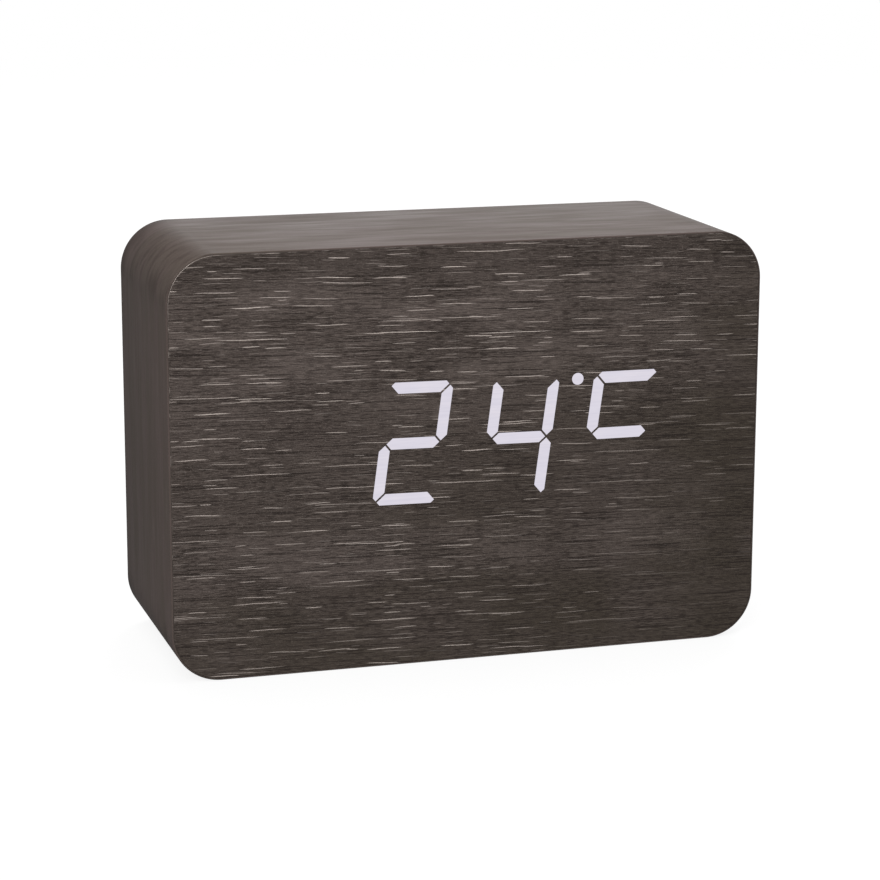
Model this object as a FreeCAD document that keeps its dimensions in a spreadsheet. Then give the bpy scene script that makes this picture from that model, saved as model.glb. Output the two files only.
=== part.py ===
import FreeCAD, Part
import math
import os

import Sketcher

# Radio-controlled alarm clock: a wood-look block with lit figures behind its film.
# Frame: X to the viewer's right, front towards -Y, Z up, origin under the middle of the case.

document = FreeCAD.newDocument("alarm_clock")
sheet = document.addObject("Spreadsheet::Sheet", "sizes")
Vector = FreeCAD.Vector


class Size:
    """A length in mm together with the sheet formula that gives it."""

    def __init__(self, number, words):
        self.number = float(number)
        self.words = words

    def __float__(self):
        return self.number

    def join(self, other, sign, number):
        words = other.words if isinstance(other, Size) else repr(float(other))
        return Size(number, "(%s %s %s)" % (self.words, sign, words))

    def __add__(self, other):
        return self.join(other, "+", self.number + float(other))

    def __sub__(self, other):
        return self.join(other, "-", self.number - float(other))

    def __mul__(self, other):
        return self.join(other, "*", self.number * float(other))

    def __truediv__(self, other):
        return self.join(other, "/", self.number / float(other))

    def __radd__(self, other):
        return plain(other) + self

    def __rsub__(self, other):
        return plain(other) - self

    def __rmul__(self, other):
        return plain(other) * self

    def __neg__(self):
        return plain(0) - self


def plain(number):
    return number if isinstance(number, Size) else Size(number, repr(float(number)))


def size(alias, number, meaning):
    """Writes one driving dimension into the sheet."""
    size.row += 1
    sheet.set("A%d" % size.row, meaning)
    sheet.set("B%d" % size.row, str(number))
    sheet.setAlias("B%d" % size.row, alias)
    return Size(number, "sizes." + alias)


size.row = 0

# Case
case_width = size("case_width", 144.0, "outside width of the case")
case_height = size("case_height", 100.0, "outside height of the case")
case_depth = size("case_depth", 55.0, "outside depth of the case")
corner_radius = size("corner_radius", 11.6, "outside radius of the four corners")
film = size("film", 0.4, "thickness of the wood-look film")
film_seam = size("film_seam", 0.2, "gap between the two ends of the wrap film")
seam_place = size("seam_place", 46.0, "film seam from the middle of the underside")
wall = size("wall", 8.0, "wall of the case frame")
inner_radius = size("inner_radius", 4.0, "inside radius of the frame's corners")
glue_gap = size("glue_gap", 0.1, "gap round a glued piece")
front_board_thick = size("front_board_thick", 4.0, "thickness of the front board")
front_seat = size("front_seat", 4.0, "width of the front rebate in the frame")
block_side = size("block_side", 12.0, "side of a corner block")
block_long = size("block_long", 22.0, "depth of a corner block")

# Seven-segment display
display_x = size("display_x", -1.15, "middle of the colon, to the right of the case's middle")
display_z = size("display_z", 53.3, "middle bar of the figures above the base")
digit_width = size("digit_width", 13.9, "between the left and right bars' centre lines")
digit_height = size("digit_height", 26.8, "between the top and bottom bars' centre lines")
segment_width = size("segment_width", 2.85, "width of a lit bar")
segment_gap = size("segment_gap", 0.32, "gap between the mitred ends of two bars")
slant = size("slant", 8.2, "lean of the figures in degrees")
digit_pitch = size("digit_pitch", 24.85, "between the two figures of a pair")
colon_room = size("colon_room", 25.9, "between the two figures beside the colon")
dot_width = size("dot_width", 3.0, "diameter of the degree dot and of the colon dots")
colon_drop = size("colon_drop", 6.7, "colon dot above or below the middle bar")
degree_left = size("degree_left", 12.4, "degree dot to the left of the last figure")
degree_up = size("degree_up", 13.1, "degree dot above the middle bar")
reflector_deep = size("reflector_deep", 7.0, "depth of the reflector block")
reflector_rim = size("reflector_rim", 2.4, "reflector block outside the bars")
reflector_lug = size("reflector_lug", 7.6, "length of a screw lug of the reflector")
well_draft = size("well_draft", 0.62, "a well's mouth is larger than its floor by this, all round")
diffuser_deep = size("diffuser_deep", 1.2, "depth of a cast light plug")
window_gap = size("window_gap", 0.15, "gap between the reflector and the window")
circuit_thick = size("circuit_thick", 1.6, "thickness of a circuit board")
led_long = size("led_long", 1.6, "length of a light chip")
led_wide = size("led_wide", 0.8, "width of a light chip")
led_tall = size("led_tall", 0.6, "height of a light chip")

# Rear panel and battery bay
panel_thick = size("panel_thick", 2.0, "thickness of the rear panel")
panel_recess = size("panel_recess", 2.0, "rear panel below the rear edge of the case")
panel_seat = size("panel_seat", 3.0, "width of the rear rebate in the frame")
panel_gap = size("panel_gap", 0.2, "gap round the rear panel")
cell_width = size("cell_width", 10.3, "diameter of a battery cell")
cell_long = size("cell_long", 43.3, "length of a cell without its nub")
nub_width = size("nub_width", 3.8, "diameter of a cell's nub")
nub_long = size("nub_long", 1.2, "height of a cell's nub")
cell_apart = size("cell_apart", 0.9, "gap between two cells in the tray")
cell_room = size("cell_room", 0.7, "space round the cells in the tray")
bay_z = size("bay_z", 32.4, "middle cell above the base")
contact_thick = size("contact_thick", 0.4, "thickness of the contact plates")
spring_long = size("spring_long", 4.2, "length of a contact spring with its cell in place")
spring_wire = size("spring_wire", 0.55, "wire of the contact springs")
spring_base = size("spring_base", 3.3, "radius of the spring's turns at the plate")
spring_tip = size("spring_tip", 1.8, "radius of the spring's turns at the cell")
spring_half_turns = size("spring_half_turns", 5, "half turns of a contact spring")
tray_wall = size("tray_wall", 1.6, "wall and floor of the battery tray")
door_ledge = size("door_ledge", 1.0, "ledge under the edge of the battery door")
door_thick = size("door_thick", 1.8, "thickness of the battery door")
door_gap = size("door_gap", 0.2, "gap round the battery door")
door_edge = size("door_edge", 0.3, "bevelled outer edge of the door")
tab_wide = size("tab_wide", 6.0, "width of a hinge tab of the door")
tab_place = size("tab_place", 15.0, "hinge tab from the middle of the door")
tab_reach = size("tab_reach", 1.1, "hinge tab under the panel")
tab_thick = size("tab_thick", 1.0, "thickness of the hinge tab's foot")
tab_gap = size("tab_gap", 0.15, "space between the tab or the catch and the panel above it")
latch_wide = size("latch_wide", 12.0, "width of the door's latch tongue")
latch_long = size("latch_long", 8.0, "length of the latch tongue")
latch_slot = size("latch_slot", 0.8, "slot on each side of the latch tongue")
catch_reach = size("catch_reach", 0.5, "catch of the latch under the panel")
catch_thick = size("catch_thick", 1.0, "thickness of the catch")
scoop_wide = size("scoop_wide", 15.0, "width of the finger scoop above the latch")
scoop_tall = size("scoop_tall", 4.5, "height of the finger scoop")
scoop_deep = size("scoop_deep", 0.9, "depth of the finger scoop")

# Screws
rear_screw_width = size("rear_screw_width", 2.8, "shank of the rear screws")
rear_head_width = size("rear_head_width", 5.4, "head of the rear screws")
rear_head_tall = size("rear_head_tall", 1.7, "height of the rear screws' heads")
rear_screw_long = size("rear_screw_long", 13.0, "rear screws under the head")
head_sink = size("head_sink", 0.8, "counterbore of the rear screws")
head_bevel = size("head_bevel", 0.6, "bevel round the rear screws' heads")
small_screw_width = size("small_screw_width", 2.2, "shank of the inner screws")
small_head_width = size("small_head_width", 4.2, "head of the inner screws")
small_head_tall = size("small_head_tall", 1.4, "height of the inner screws' heads")
pilot_deep = size("pilot_deep", 3.0, "pilot holes of the display screws in the front board")
pilot_spare = size("pilot_spare", 1.0, "pilot hole beyond the end of an inner screw")
screw_gap = size("screw_gap", 0.05, "radial gap between a screw and its hole")
lead_in = size("lead_in", 0.4, "extra radial room of a counterbore")

# Buttons and main board
button_wide = size("button_wide", 9.0, "width of a button cap")
button_tall = size("button_tall", 5.4, "height of a button cap")
button_proud = size("button_proud", 1.1, "button cap above the panel")
button_gap = size("button_gap", 0.2, "gap round a button cap in the panel")
button_flange = size("button_flange", 1.0, "flange of a button cap beyond its hole")
flange_thick = size("flange_thick", 1.2, "thickness of the button's flange")
flange_gap = size("flange_gap", 0.05, "space between the flange and the panel")
button_travel = size("button_travel", 0.5, "travel of a button")
button_pitch = size("button_pitch", 16.0, "between two buttons")
button_z = size("button_z", 74.0, "buttons above the base")
stem_long = size("stem_long", 1.5, "stem between the button's flange and the plunger")
plunger_width = size("plunger_width", 3.4, "diameter of a switch plunger")
plunger_proud = size("plunger_proud", 0.8, "plunger above its switch")
plunger_deep = size("plunger_deep", 2.0, "plunger inside its switch")
plunger_gap = size("plunger_gap", 0.05, "radial gap round the plunger")
switch_side = size("switch_side", 6.0, "side of a switch body")
switch_tall = size("switch_tall", 3.5, "height of a switch body")
board_width = size("board_width", 99.0, "width of the main board")
board_height = size("board_height", 26.0, "height of the main board")
boss_width = size("boss_width", 5.6, "diameter of a board boss")
boss_inset = size("boss_inset", 4.2, "board boss inside the board's edges")
buzzer_place = size("buzzer_place", 39.0, "buzzer to the left of the buttons' middle, from the rear")
buzzer_width = size("buzzer_width", 12.0, "diameter of the buzzer")
buzzer_tall = size("buzzer_tall", 5.6, "height of the buzzer")
sound_hole = size("sound_hole", 1.6, "diameter of a sound hole")
sound_ring = size("sound_ring", 3.4, "radius of the ring of sound holes")
jack_place = size("jack_place", 39.0, "power jack to the right of the buttons' middle, from the rear")
jack_width = size("jack_width", 6.4, "diameter of the jack's collar")
jack_bore = size("jack_bore", 3.6, "bore of the jack")
jack_pin = size("jack_pin", 1.3, "diameter of the jack's centre pin")
jack_base = size("jack_base", 7.6, "side of the jack's base")
jack_sunk = size("jack_sunk", 0.4, "jack's mouth below the panel's outer face")
jack_gap = size("jack_gap", 0.2, "gap round the jack's collar")
sensor_place = size("sensor_place", 46.0, "temperature sensor from the middle, from the rear")
sensor_z = size("sensor_z", 30.0, "temperature sensor above the base")
vent_long = size("vent_long", 12.0, "length of a vent slot")
vent_wide = size("vent_wide", 1.4, "width of a vent slot")
vent_pitch = size("vent_pitch", 3.2, "between two vent slots")
mic_z = size("mic_z", 64.4, "sound sensor above the base")
mic_width = size("mic_width", 6.0, "diameter of the sound sensor's boot")
mic_hole = size("mic_hole", 1.5, "hole for the sound sensor")

# Time-signal receiver
rod_width = size("rod_width", 8.0, "diameter of the ferrite rod")
rod_long = size("rod_long", 60.0, "length of the ferrite rod")
rod_y = size("rod_y", -6.0, "ferrite rod behind the case's middle")
rod_up = size("rod_up", 9.0, "ferrite rod's axis above the frame's floor")
former_wall = size("former_wall", 0.8, "wall of the coil former")
former_long = size("former_long", 28.0, "length of the coil former")
former_flange = size("former_flange", 2.2, "height of the former's end flanges")
coil_thick = size("coil_thick", 1.2, "thickness of the winding")
holder_wall = size("holder_wall", 1.8, "wall of an antenna holder")
holder_long = size("holder_long", 7.0, "length of an antenna holder along the rod")
holder_place = size("holder_place", 23.0, "antenna holder from the rod's middle")
holder_foot = size("holder_foot", 2.0, "foot of an antenna holder beyond its ring")
slip_gap = size("slip_gap", 0.05, "radial gap between the rod and what it sits in")
receiver_long = size("receiver_long", 22.0, "length of the receiver board")
receiver_wide = size("receiver_wide", 14.0, "width of the receiver board")
receiver_x = size("receiver_x", 46.0, "middle of the receiver board")
pad_thick = size("pad_thick", 2.0, "foam pad under the receiver board")

# Smaller sizes of the back and the boards
cell_play = size("cell_play", 0.3, "space between the cells and the door")
cell_under = size("cell_under", 0.2, "space between the cells and the tray's floor")
saddle_thick = size("saddle_thick", 2.0, "thickness of a saddle rib under the cells")
saddle_place = size("saddle_place", 13.0, "saddle rib from the bay's middle")
plate_side = size("plate_side", 8.6, "side of a contact plate")
solder_tab = size("solder_tab", 2.4, "width of a solder tab")
solder_out = size("solder_out", 2.6, "solder tab outside the tray")
door_corner = size("door_corner", 1.4, "corner radius of the door's seat")
tab_side_gap = size("tab_side_gap", 0.3, "space beside a tab or the catch")
tab_notch = size("tab_notch", 2.0, "depth of the notches for the tabs and the catch below the panel")
grip_width = size("grip_width", 0.7, "width of a grip ridge")
grip_pitch = size("grip_pitch", 1.5, "between two grip ridges")
grip_proud = size("grip_proud", 0.4, "height of a grip ridge")
lip_thick = size("lip_thick", 1.2, "thickness of the panel's locating lips")
lip_tall = size("lip_tall", 3.0, "height of the panel's locating lips")
clear_gap = size("clear_gap", 0.2, "radial gap round a screw in the panel")
button_radius = size("button_radius", 2.4, "corner radius of a button cap")
button_edge = size("button_edge", 0.4, "bevelled edge of a button cap")
board_corner = size("board_corner", 1.0, "corner radius of the main board")
buzzer_mouth = size("buzzer_mouth", 3.0, "sound mouth of the buzzer")
rim_bevel = size("rim_bevel", 0.4, "bevelled rims of the buzzer and of the jack's bore")
jack_deep = size("jack_deep", 8.0, "depth of the jack's bore")
sensor_back = size("sensor_back", 3.0, "temperature bead in front of the panel")
bead_width = size("bead_width", 2.4, "diameter of the temperature bead")
bead_long = size("bead_long", 3.4, "length of the temperature bead")
lead_width = size("lead_width", 1.1, "diameter of a battery or receiver lead")
fine_lead_width = size("fine_lead_width", 0.5, "diameter of a temperature lead")
antenna_lead_width = size("antenna_lead_width", 0.3, "diameter of an end of the winding")
ribbon_wide = size("ribbon_wide", 12.0, "width of the display ribbon")
ribbon_thick = size("ribbon_thick", 0.3, "thickness of the display ribbon")
socket_tall = size("socket_tall", 3.0, "height of a ribbon socket")
socket_high = size("socket_high", 4.5, "ribbon socket across its row of contacts")
socket_end = size("socket_end", 1.5, "ribbon socket beyond each edge of the ribbon")
socket_drop = size("socket_drop", 12.0, "display's ribbon socket below the middle bar")

# Small parts on the boards
chip_tall = size("chip_tall", 1.8, "height of a moulded chip")
chip_clear = size("chip_clear", 0.15, "space under a moulded chip")
leg_reach = size("leg_reach", 1.0, "chip's legs beyond its sides")
leg_foot = size("leg_foot", 0.5, "foot of a chip's leg")
leg_thick = size("leg_thick", 0.2, "sheet of a chip's legs")
leg_wide = size("leg_wide", 0.5, "width of a chip's leg")
leg_pitch = size("leg_pitch", 1.27, "between two legs of a chip")
controller_long = size("controller_long", 12.0, "length of the controller chip")
controller_wide = size("controller_wide", 7.5, "width of the controller chip")
controller_x = size("controller_x", -18.0, "controller chip from the main board's middle")
driver_long = size("driver_long", 10.0, "length of the display driver")
driver_wide = size("driver_wide", 5.4, "width of the display driver")
driver_x = size("driver_x", 24.0, "display driver from the display's middle")
tuner_long = size("tuner_long", 8.8, "length of the receiver chip")
tuner_wide = size("tuner_wide", 3.9, "width of the receiver chip")
crystal_width = size("crystal_width", 2.0, "diameter of the crystal's can")
crystal_long = size("crystal_long", 6.0, "length of the crystal's can")
crystal_lead = size("crystal_lead", 1.6, "length of the crystal's leads")
crystal_wire = size("crystal_wire", 0.3, "diameter of the crystal's leads")
crystal_x = size("crystal_x", -6.0, "crystal from the main board's middle")
crystal_up = size("crystal_up", 6.0, "crystal above the buttons' middle")
can_tall = size("can_tall", 8.0, "height of a capacitor")
large_can = size("large_can", 6.3, "diameter of the larger capacitor")
small_can = size("small_can", 5.0, "diameter of the smaller capacitor")
large_can_x = size("large_can_x", 18.0, "larger capacitor from the main board's middle")
small_can_x = size("small_can_x", 27.0, "smaller capacitor from the main board's middle")
can_drop = size("can_drop", 5.0, "capacitors below the buttons' middle")
crimp_deep = size("crimp_deep", 0.35, "depth of a capacitor's crimp")
crimp_up = size("crimp_up", 1.5, "a capacitor's crimp above its base")

document.recompute()

# Places that follow from the sizes above
front_y = -case_depth / 2
film_back_y = front_y + film
board_back_y = film_back_y + front_board_thick
reflector_back_y = film_back_y + reflector_deep
led_board_back_y = reflector_back_y + circuit_thick
rear_y = case_depth / 2
panel_outer_y = rear_y - panel_recess
panel_inner_y = panel_outer_y - panel_thick
frame_width = case_width - 2 * film
frame_height = case_height - 2 * film
inside_width = frame_width - 2 * wall
inside_height = frame_height - 2 * wall
middle_z = case_height / 2
block_x = inside_width / 2 - block_side / 2
block_z = inside_height / 2 - block_side / 2

front_facing = FreeCAD.Rotation(Vector(1, 0, 0), 90)
rear_facing = FreeCAD.Rotation(Vector(0, 0, 1), 180).multiply(front_facing)


def bind(thing, path, amount):
    """Sets a number, or ties it to the sheet."""
    if isinstance(amount, Size):
        thing.setExpression(path, amount.words)
    else:
        setattr(thing, path, amount)


def place(thing, x=0, y=0, z=0, turn=None):
    thing.Placement = FreeCAD.Placement(Vector(float(x), float(y), float(z)), turn or FreeCAD.Rotation())
    for axis, amount in zip("xyz", (x, y, z)):
        if isinstance(amount, Size):
            thing.setExpression("Placement.Base." + axis, amount.words)


def body(label, x=0, y=0, z=0, turn=None):
    made = document.addObject("PartDesign::Body", label)
    made.Label = label
    place(made, x, y, z, turn)
    return made


def origin_plane(owner, role):
    return [each for each in owner.Origin.OriginFeatures if each.Role == role][0]


def sketch_on(owner, height=0, role="XY_Plane"):
    """An empty sketch at a height above one of the body's own planes."""
    made = owner.newObject("Sketcher::SketchObject", owner.Label + "_sketch")
    made.AttachmentSupport = [(origin_plane(owner, role), "")]
    made.MapMode = "FlatFace"
    made.AttachmentOffset = FreeCAD.Placement(Vector(0, 0, float(height)), FreeCAD.Rotation())
    if isinstance(height, Size):
        made.setExpression("AttachmentOffset.Base.z", height.words)
    return made


def dimension(sketch, kind, *numbers_and_size):
    amount = numbers_and_size[-1]
    index = sketch.addConstraint(Sketcher.Constraint(kind, *numbers_and_size[:-1], float(amount)))
    if isinstance(amount, Size):
        sketch.setExpression("Constraints[%d]" % index, amount.words)


def fix_point(sketch, geometry, which, x, y):
    dimension(sketch, "DistanceX", -1, 1, geometry, which, x)
    dimension(sketch, "DistanceY", -1, 1, geometry, which, y)


def circle(sketch, diameter, x=0, y=0):
    shape = Part.Circle(Vector(float(x), float(y), 0), Vector(0, 0, 1), float(diameter) / 2)
    index = sketch.addGeometry(shape, False)
    dimension(sketch, "Diameter", index, diameter)
    fix_point(sketch, index, 3, x, y)


def polygon(sketch, corners):
    """A closed outline whose corners are all given."""
    first = sketch.GeometryCount
    points = [Vector(float(x), float(y), 0) for x, y in corners]
    for start, end in zip(points, points[1:] + points[:1]):
        sketch.addGeometry(Part.LineSegment(start, end), False)
    count = len(corners)
    for step in range(count):
        line = first + step
        following = first + (step + 1) % count
        sketch.addConstraint(Sketcher.Constraint("Coincident", line, 2, following, 1))
        fix_point(sketch, line, 1, *corners[step])


def rectangle(sketch, width, height, x=0, y=0):
    left, right = plain(x) - width / 2, plain(x) + width / 2
    low, high = plain(y) - height / 2, plain(y) + height / 2
    polygon(sketch, [(left, low), (right, low), (right, high), (left, high)])


def rounded_rectangle(sketch, width, height, radius, x=0, y=0):
    """Four sides joined by four tangent arcs."""
    first = sketch.GeometryCount
    radius_now = float(radius)
    left, right = float(x) - float(width) / 2, float(x) + float(width) / 2
    low, high = float(y) - float(height) / 2, float(y) + float(height) / 2
    corners = [(right, low, 270), (right, high, 0), (left, high, 90), (left, low, 180)]
    sides = [
        ((left + radius_now, low), (right - radius_now, low)),
        ((right, low + radius_now), (right, high - radius_now)),
        ((right - radius_now, high), (left + radius_now, high)),
        ((left, high - radius_now), (left, low + radius_now)),
    ]
    for start, end in sides:
        sketch.addGeometry(Part.LineSegment(Vector(*start, 0), Vector(*end, 0)), False)
    for corner_x, corner_y, angle in corners:
        centre_x = corner_x - math.copysign(radius_now, corner_x - float(x))
        centre_y = corner_y - math.copysign(radius_now, corner_y - float(y))
        whole = Part.Circle(Vector(centre_x, centre_y, 0), Vector(0, 0, 1), radius_now)
        arc = Part.ArcOfCircle(whole, math.radians(angle), math.radians(angle + 90))
        sketch.addGeometry(arc, False)
    for step in range(4):
        side, arc = first + step, first + 4 + step
        following = first + (step + 1) % 4
        sketch.addConstraint(Sketcher.Constraint("Tangent", side, 2, arc, 1))
        sketch.addConstraint(Sketcher.Constraint("Tangent", arc, 2, following, 1))
        sketch.addConstraint(Sketcher.Constraint("Vertical" if step % 2 else "Horizontal", side))
    for step in range(1, 4):
        sketch.addConstraint(Sketcher.Constraint("Equal", first + 4, first + 4 + step))
    dimension(sketch, "Radius", first + 4, radius)
    dimension(sketch, "DistanceX", first + 3, 1, first + 1, 1, width)
    dimension(sketch, "DistanceY", first, 1, first + 2, 1, height)
    dimension(sketch, "DistanceX", -1, 1, first + 3, 1, plain(x) - width / 2)
    dimension(sketch, "DistanceY", -1, 1, first, 1, plain(y) - height / 2)


def feature(kind, sketch, length, reverse=False, midplane=False):
    owner = sketch.getParentGeoFeatureGroup()
    before = owner.Shape.Volume if owner.Tip else 0.0
    made = owner.newObject("PartDesign::" + kind, owner.Label + "_" + kind.lower())
    made.Profile = sketch
    bind(made, "Length", length)
    made.Reversed = reverse
    if midplane:
        made.SideType = "Symmetric"
    document.recompute()
    grown = made.Shape.Volume - before
    if (grown > 0) != (kind == "Pad"):
        raise ValueError("%s changes nothing" % made.Label)
    return made


def pad(sketch, length, reverse=False, midplane=False):
    return feature("Pad", sketch, length, reverse, midplane)


def pocket(sketch, length, reverse=False, midplane=False):
    return feature("Pocket", sketch, length, reverse, midplane)


def revolve(sketch, axis="V_Axis"):
    owner = sketch.getParentGeoFeatureGroup()
    made = owner.newObject("PartDesign::Revolution", owner.Label + "_revolution")
    made.Profile = sketch
    made.ReferenceAxis = (sketch, [axis])
    made.Angle = 360
    document.recompute()
    return made


def edges_where(shape, wanted):
    """Names of the edges whose middle and direction suit the question."""
    names = []
    for number, edge in enumerate(shape.Edges, 1):
        middle = edge.valueAt((edge.FirstParameter + edge.LastParameter) / 2)
        along = edge.tangentAt((edge.FirstParameter + edge.LastParameter) / 2)
        if wanted(middle, along, edge):
            names.append("Edge%d" % number)
    return names


def finish_edges(kind, owner, wanted, amount):
    """Fillets or chamfers the chosen edges of the body's last feature."""
    last = owner.Tip
    names = edges_where(last.Shape, wanted)
    if not names:
        raise ValueError("%s has no such edges" % owner.Label)
    made = owner.newObject("PartDesign::" + kind, owner.Label + "_" + kind.lower())
    made.Base = (last, names)
    bind(made, "Radius" if kind == "Fillet" else "Size", amount)
    document.recompute()
    return made


def pattern_line(owner, original, sketch, axis, length, count, reverse=False):
    made = owner.newObject("PartDesign::LinearPattern", owner.Label + "_row")
    made.Originals = [original]
    made.Direction = (sketch, [axis])
    bind(made, "Length", length)
    made.Reversed = reverse
    made.Occurrences = count
    owner.Tip = made
    document.recompute()
    return made


def pattern_ring(owner, original, sketch, count):
    made = owner.newObject("PartDesign::PolarPattern", owner.Label + "_ring")
    made.Originals = [original]
    made.Axis = (sketch, ["N_Axis"])
    made.Angle = 360
    made.Occurrences = count
    owner.Tip = made
    document.recompute()
    return made


def solid_piece(label, shape, x=0, y=0, z=0, turn=None):
    """A piece whose shape comes from a formula, placed after its shape is set."""
    made = document.addObject("Part::Feature", label)
    made.Label = label
    made.Shape = shape
    place(made, x, y, z, turn)
    return made


def copies(shape, places):
    """The same shape at several local places, as one group of separate solids."""
    group = []
    for spot in places:
        twin = shape.copy()
        twin.translate(Vector(*[float(amount) for amount in spot]))
        group.append(twin)
    return Part.makeCompound(group)


def corners_of(half_width, half_height, middle_height=0):
    return [
        (side * half_width, middle_height + level * half_height)
        for side in (-1, 1)
        for level in (-1, 1)
    ]


def screw_shape(shank_width, head_width, head_tall, long, bevel=0):
    """A blunt-ended screw with its head's underside at height zero and its shank below."""
    shank = Part.makeCylinder(float(shank_width) / 2, float(long), Vector(0, 0, -float(long)))
    head = Part.makeCylinder(float(head_width) / 2, float(head_tall))
    if bevel:
        rim = [edge for edge in head.Edges if edge.BoundBox.ZMin > float(head_tall) - 0.01]
        head = head.makeChamfer(float(bevel), rim)
    return shank.fuse(head)


# Case

def make_case_frame():
    frame = body("case_frame", y=rear_y, z=middle_z, turn=front_facing)
    length = case_depth - film
    ring = sketch_on(frame)
    rounded_rectangle(ring, frame_width, frame_height, corner_radius - film)
    rounded_rectangle(ring, inside_width, inside_height, inner_radius)
    pad(ring, length)
    front = sketch_on(frame, length)
    rounded_rectangle(front, inside_width + 2 * front_seat, inside_height + 2 * front_seat,
                      inner_radius + front_seat)
    pocket(front, front_board_thick)
    rear = sketch_on(frame)
    rounded_rectangle(rear, inside_width + 2 * panel_seat, inside_height + 2 * panel_seat,
                      inner_radius + panel_seat)
    pocket(rear, panel_recess + panel_thick, reverse=True)
    return frame


def make_wrap_film():
    wrap = body("wrap_film", y=rear_y, z=middle_z, turn=front_facing)
    ring = sketch_on(wrap)
    rounded_rectangle(ring, case_width, case_height, corner_radius)
    rounded_rectangle(ring, frame_width, frame_height, corner_radius - film)
    pad(ring, case_depth)
    seam = sketch_on(wrap)
    rectangle(seam, film_seam, 4 * film, seam_place, -middle_z)
    pocket(seam, case_depth, reverse=True)
    return wrap


def make_front_board():
    board = body("front_board", y=board_back_y, z=middle_z, turn=front_facing)
    plate = sketch_on(board)
    rounded_rectangle(plate, inside_width + 2 * (front_seat - glue_gap),
                      inside_height + 2 * (front_seat - glue_gap),
                      inner_radius + front_seat - glue_gap)
    pad(plate, front_board_thick)
    window = sketch_on(board, front_board_thick)
    rectangle(window, reflector_width + 2 * window_gap, reflector_height + 2 * window_gap,
              display_x, display_z - middle_z)
    pocket(window, front_board_thick)
    holes = sketch_on(board)
    for x, z in lug_places():
        circle(holes, small_screw_width + 2 * screw_gap, display_x + x, display_z - middle_z + z)
    pocket(holes, pilot_deep, reverse=True)
    return board


def make_corner_blocks():
    block = Part.makeBox(float(block_side), float(block_side), float(block_long),
                         Vector(-float(block_side) / 2, -float(block_side) / 2, 0))
    pilot = Part.makeCylinder(float(rear_screw_width) / 2 + float(screw_gap), float(rear_screw_long),
                              Vector(0, 0, float(block_long) - float(rear_screw_long)))
    block = block.cut(pilot)
    group = []
    for x, z in corners_of(1, 1):
        def outer_edge(edge):
            box = edge.BoundBox
            upright = box.ZLength > float(block_long) - 0.1
            return upright and box.Center.x * x > 1 and box.Center.y * z > 1
        rounded = block.makeFillet(float(inner_radius), [edge for edge in block.Edges if outer_edge(edge)])
        rounded.translate(Vector(x * float(block_x), z * float(block_z), 0))
        group.append(rounded)
    return solid_piece("corner_blocks", Part.makeCompound(group),
                       y=panel_inner_y - block_long, z=middle_z, turn=rear_facing)


# Figures. A segment is drawn upright, about the figure's middle, and leans with its height.

def lean(x, z):
    return x + z * math.tan(math.radians(float(slant)))


def outer_bar(side):
    """Top bar, or with side -1 the bottom one: mitred ends and cut-off outer corners."""
    half, level = float(digit_width) / 2, float(digit_height) / 2
    thick, inset = float(segment_width) / 2, float(segment_gap) / math.sqrt(2)
    cut = thick / 3
    right = [
        (half - thick - inset, level - thick),
        (half + cut - inset / 2, level + cut + inset / 2),
        (half + 2 * cut - thick, level + thick),
    ]
    left = [(-x, z) for x, z in reversed(right)]
    return [(x, side * z) for x, z in right + left]


def middle_bar():
    half, thick = float(digit_width) / 2, float(segment_width) / 2
    tip = half - float(segment_gap) / math.sqrt(2)
    right = [(tip - thick, -thick), (tip, 0), (tip - thick, thick)]
    return right + [(-x, -z) for x, z in right]


def side_bar(side, level_sign):
    """Right or left bar, upper or lower half."""
    half, level = float(digit_width) / 2, float(digit_height) / 2
    thick, inset = float(segment_width) / 2, float(segment_gap) / math.sqrt(2)
    cut = thick / 3
    points = [
        (half - thick, inset + thick),
        (half, inset),
        (half + thick, inset + thick),
        (half + thick, level + 2 * cut - thick),
        (half + cut + inset / 2, level + cut - inset / 2),
        (half - thick, level - thick - inset),
    ]
    return [(side * x, level_sign * z) for x, z in points]


bars = {
    "a": outer_bar(1),
    "b": side_bar(1, 1),
    "c": side_bar(1, -1),
    "d": outer_bar(-1),
    "e": side_bar(-1, -1),
    "f": side_bar(-1, 1),
    "g": middle_bar(),
}
digit_places = [
    float(display_x) + side * (float(colon_room) / 2 + step * float(digit_pitch))
    for side, step in ((-1, 1), (-1, 0), (1, 0), (1, 1))
]
lit_bars = {1: "abged", 2: "fgbc", 3: "afg"}
degree_dot = (digit_places[3] + lean(-float(degree_left), float(degree_up)), float(degree_up))
colon_dots = [
    (float(display_x) + lean(0, level * float(colon_drop)), level * float(colon_drop))
    for level in (-1, 1)
]
reflector_width = colon_room + 2 * digit_pitch + digit_width + segment_width + 2 * reflector_rim + \
    digit_height * math.tan(math.radians(float(slant)))
reflector_height = digit_height + segment_width + 2 * reflector_rim


def lug_places():
    return corners_of(reflector_width / 2 + reflector_lug / 2, reflector_height / 2 - reflector_lug / 2)


def outlines(only_lit):
    """Corner points of every bar, or of the lit ones, about the display's middle height."""
    found = []
    for place_number, centre in enumerate(digit_places):
        for name, points in bars.items():
            if only_lit and name not in lit_bars.get(place_number, ""):
                continue
            found.append([(centre + lean(x, z), z) for x, z in points])
    return found


def flat_polygon(points, height=0.0):
    corners = [Vector(x, z, height) for x, z in points]
    return Part.makePolygon(corners + corners[:1])


def prism(points, thickness, height=0.0):
    return Part.Face(flat_polygon(points, height)).extrude(Vector(0, 0, thickness))


def disc(spot, diameter, thickness, height=0.0):
    return Part.makeCylinder(diameter / 2, thickness, Vector(spot[0], spot[1], height))


def lit_shapes(thickness):
    shapes = [prism(points, thickness) for points in outlines(only_lit=True)]
    return shapes + [disc(degree_dot, float(dot_width), thickness)]


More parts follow.
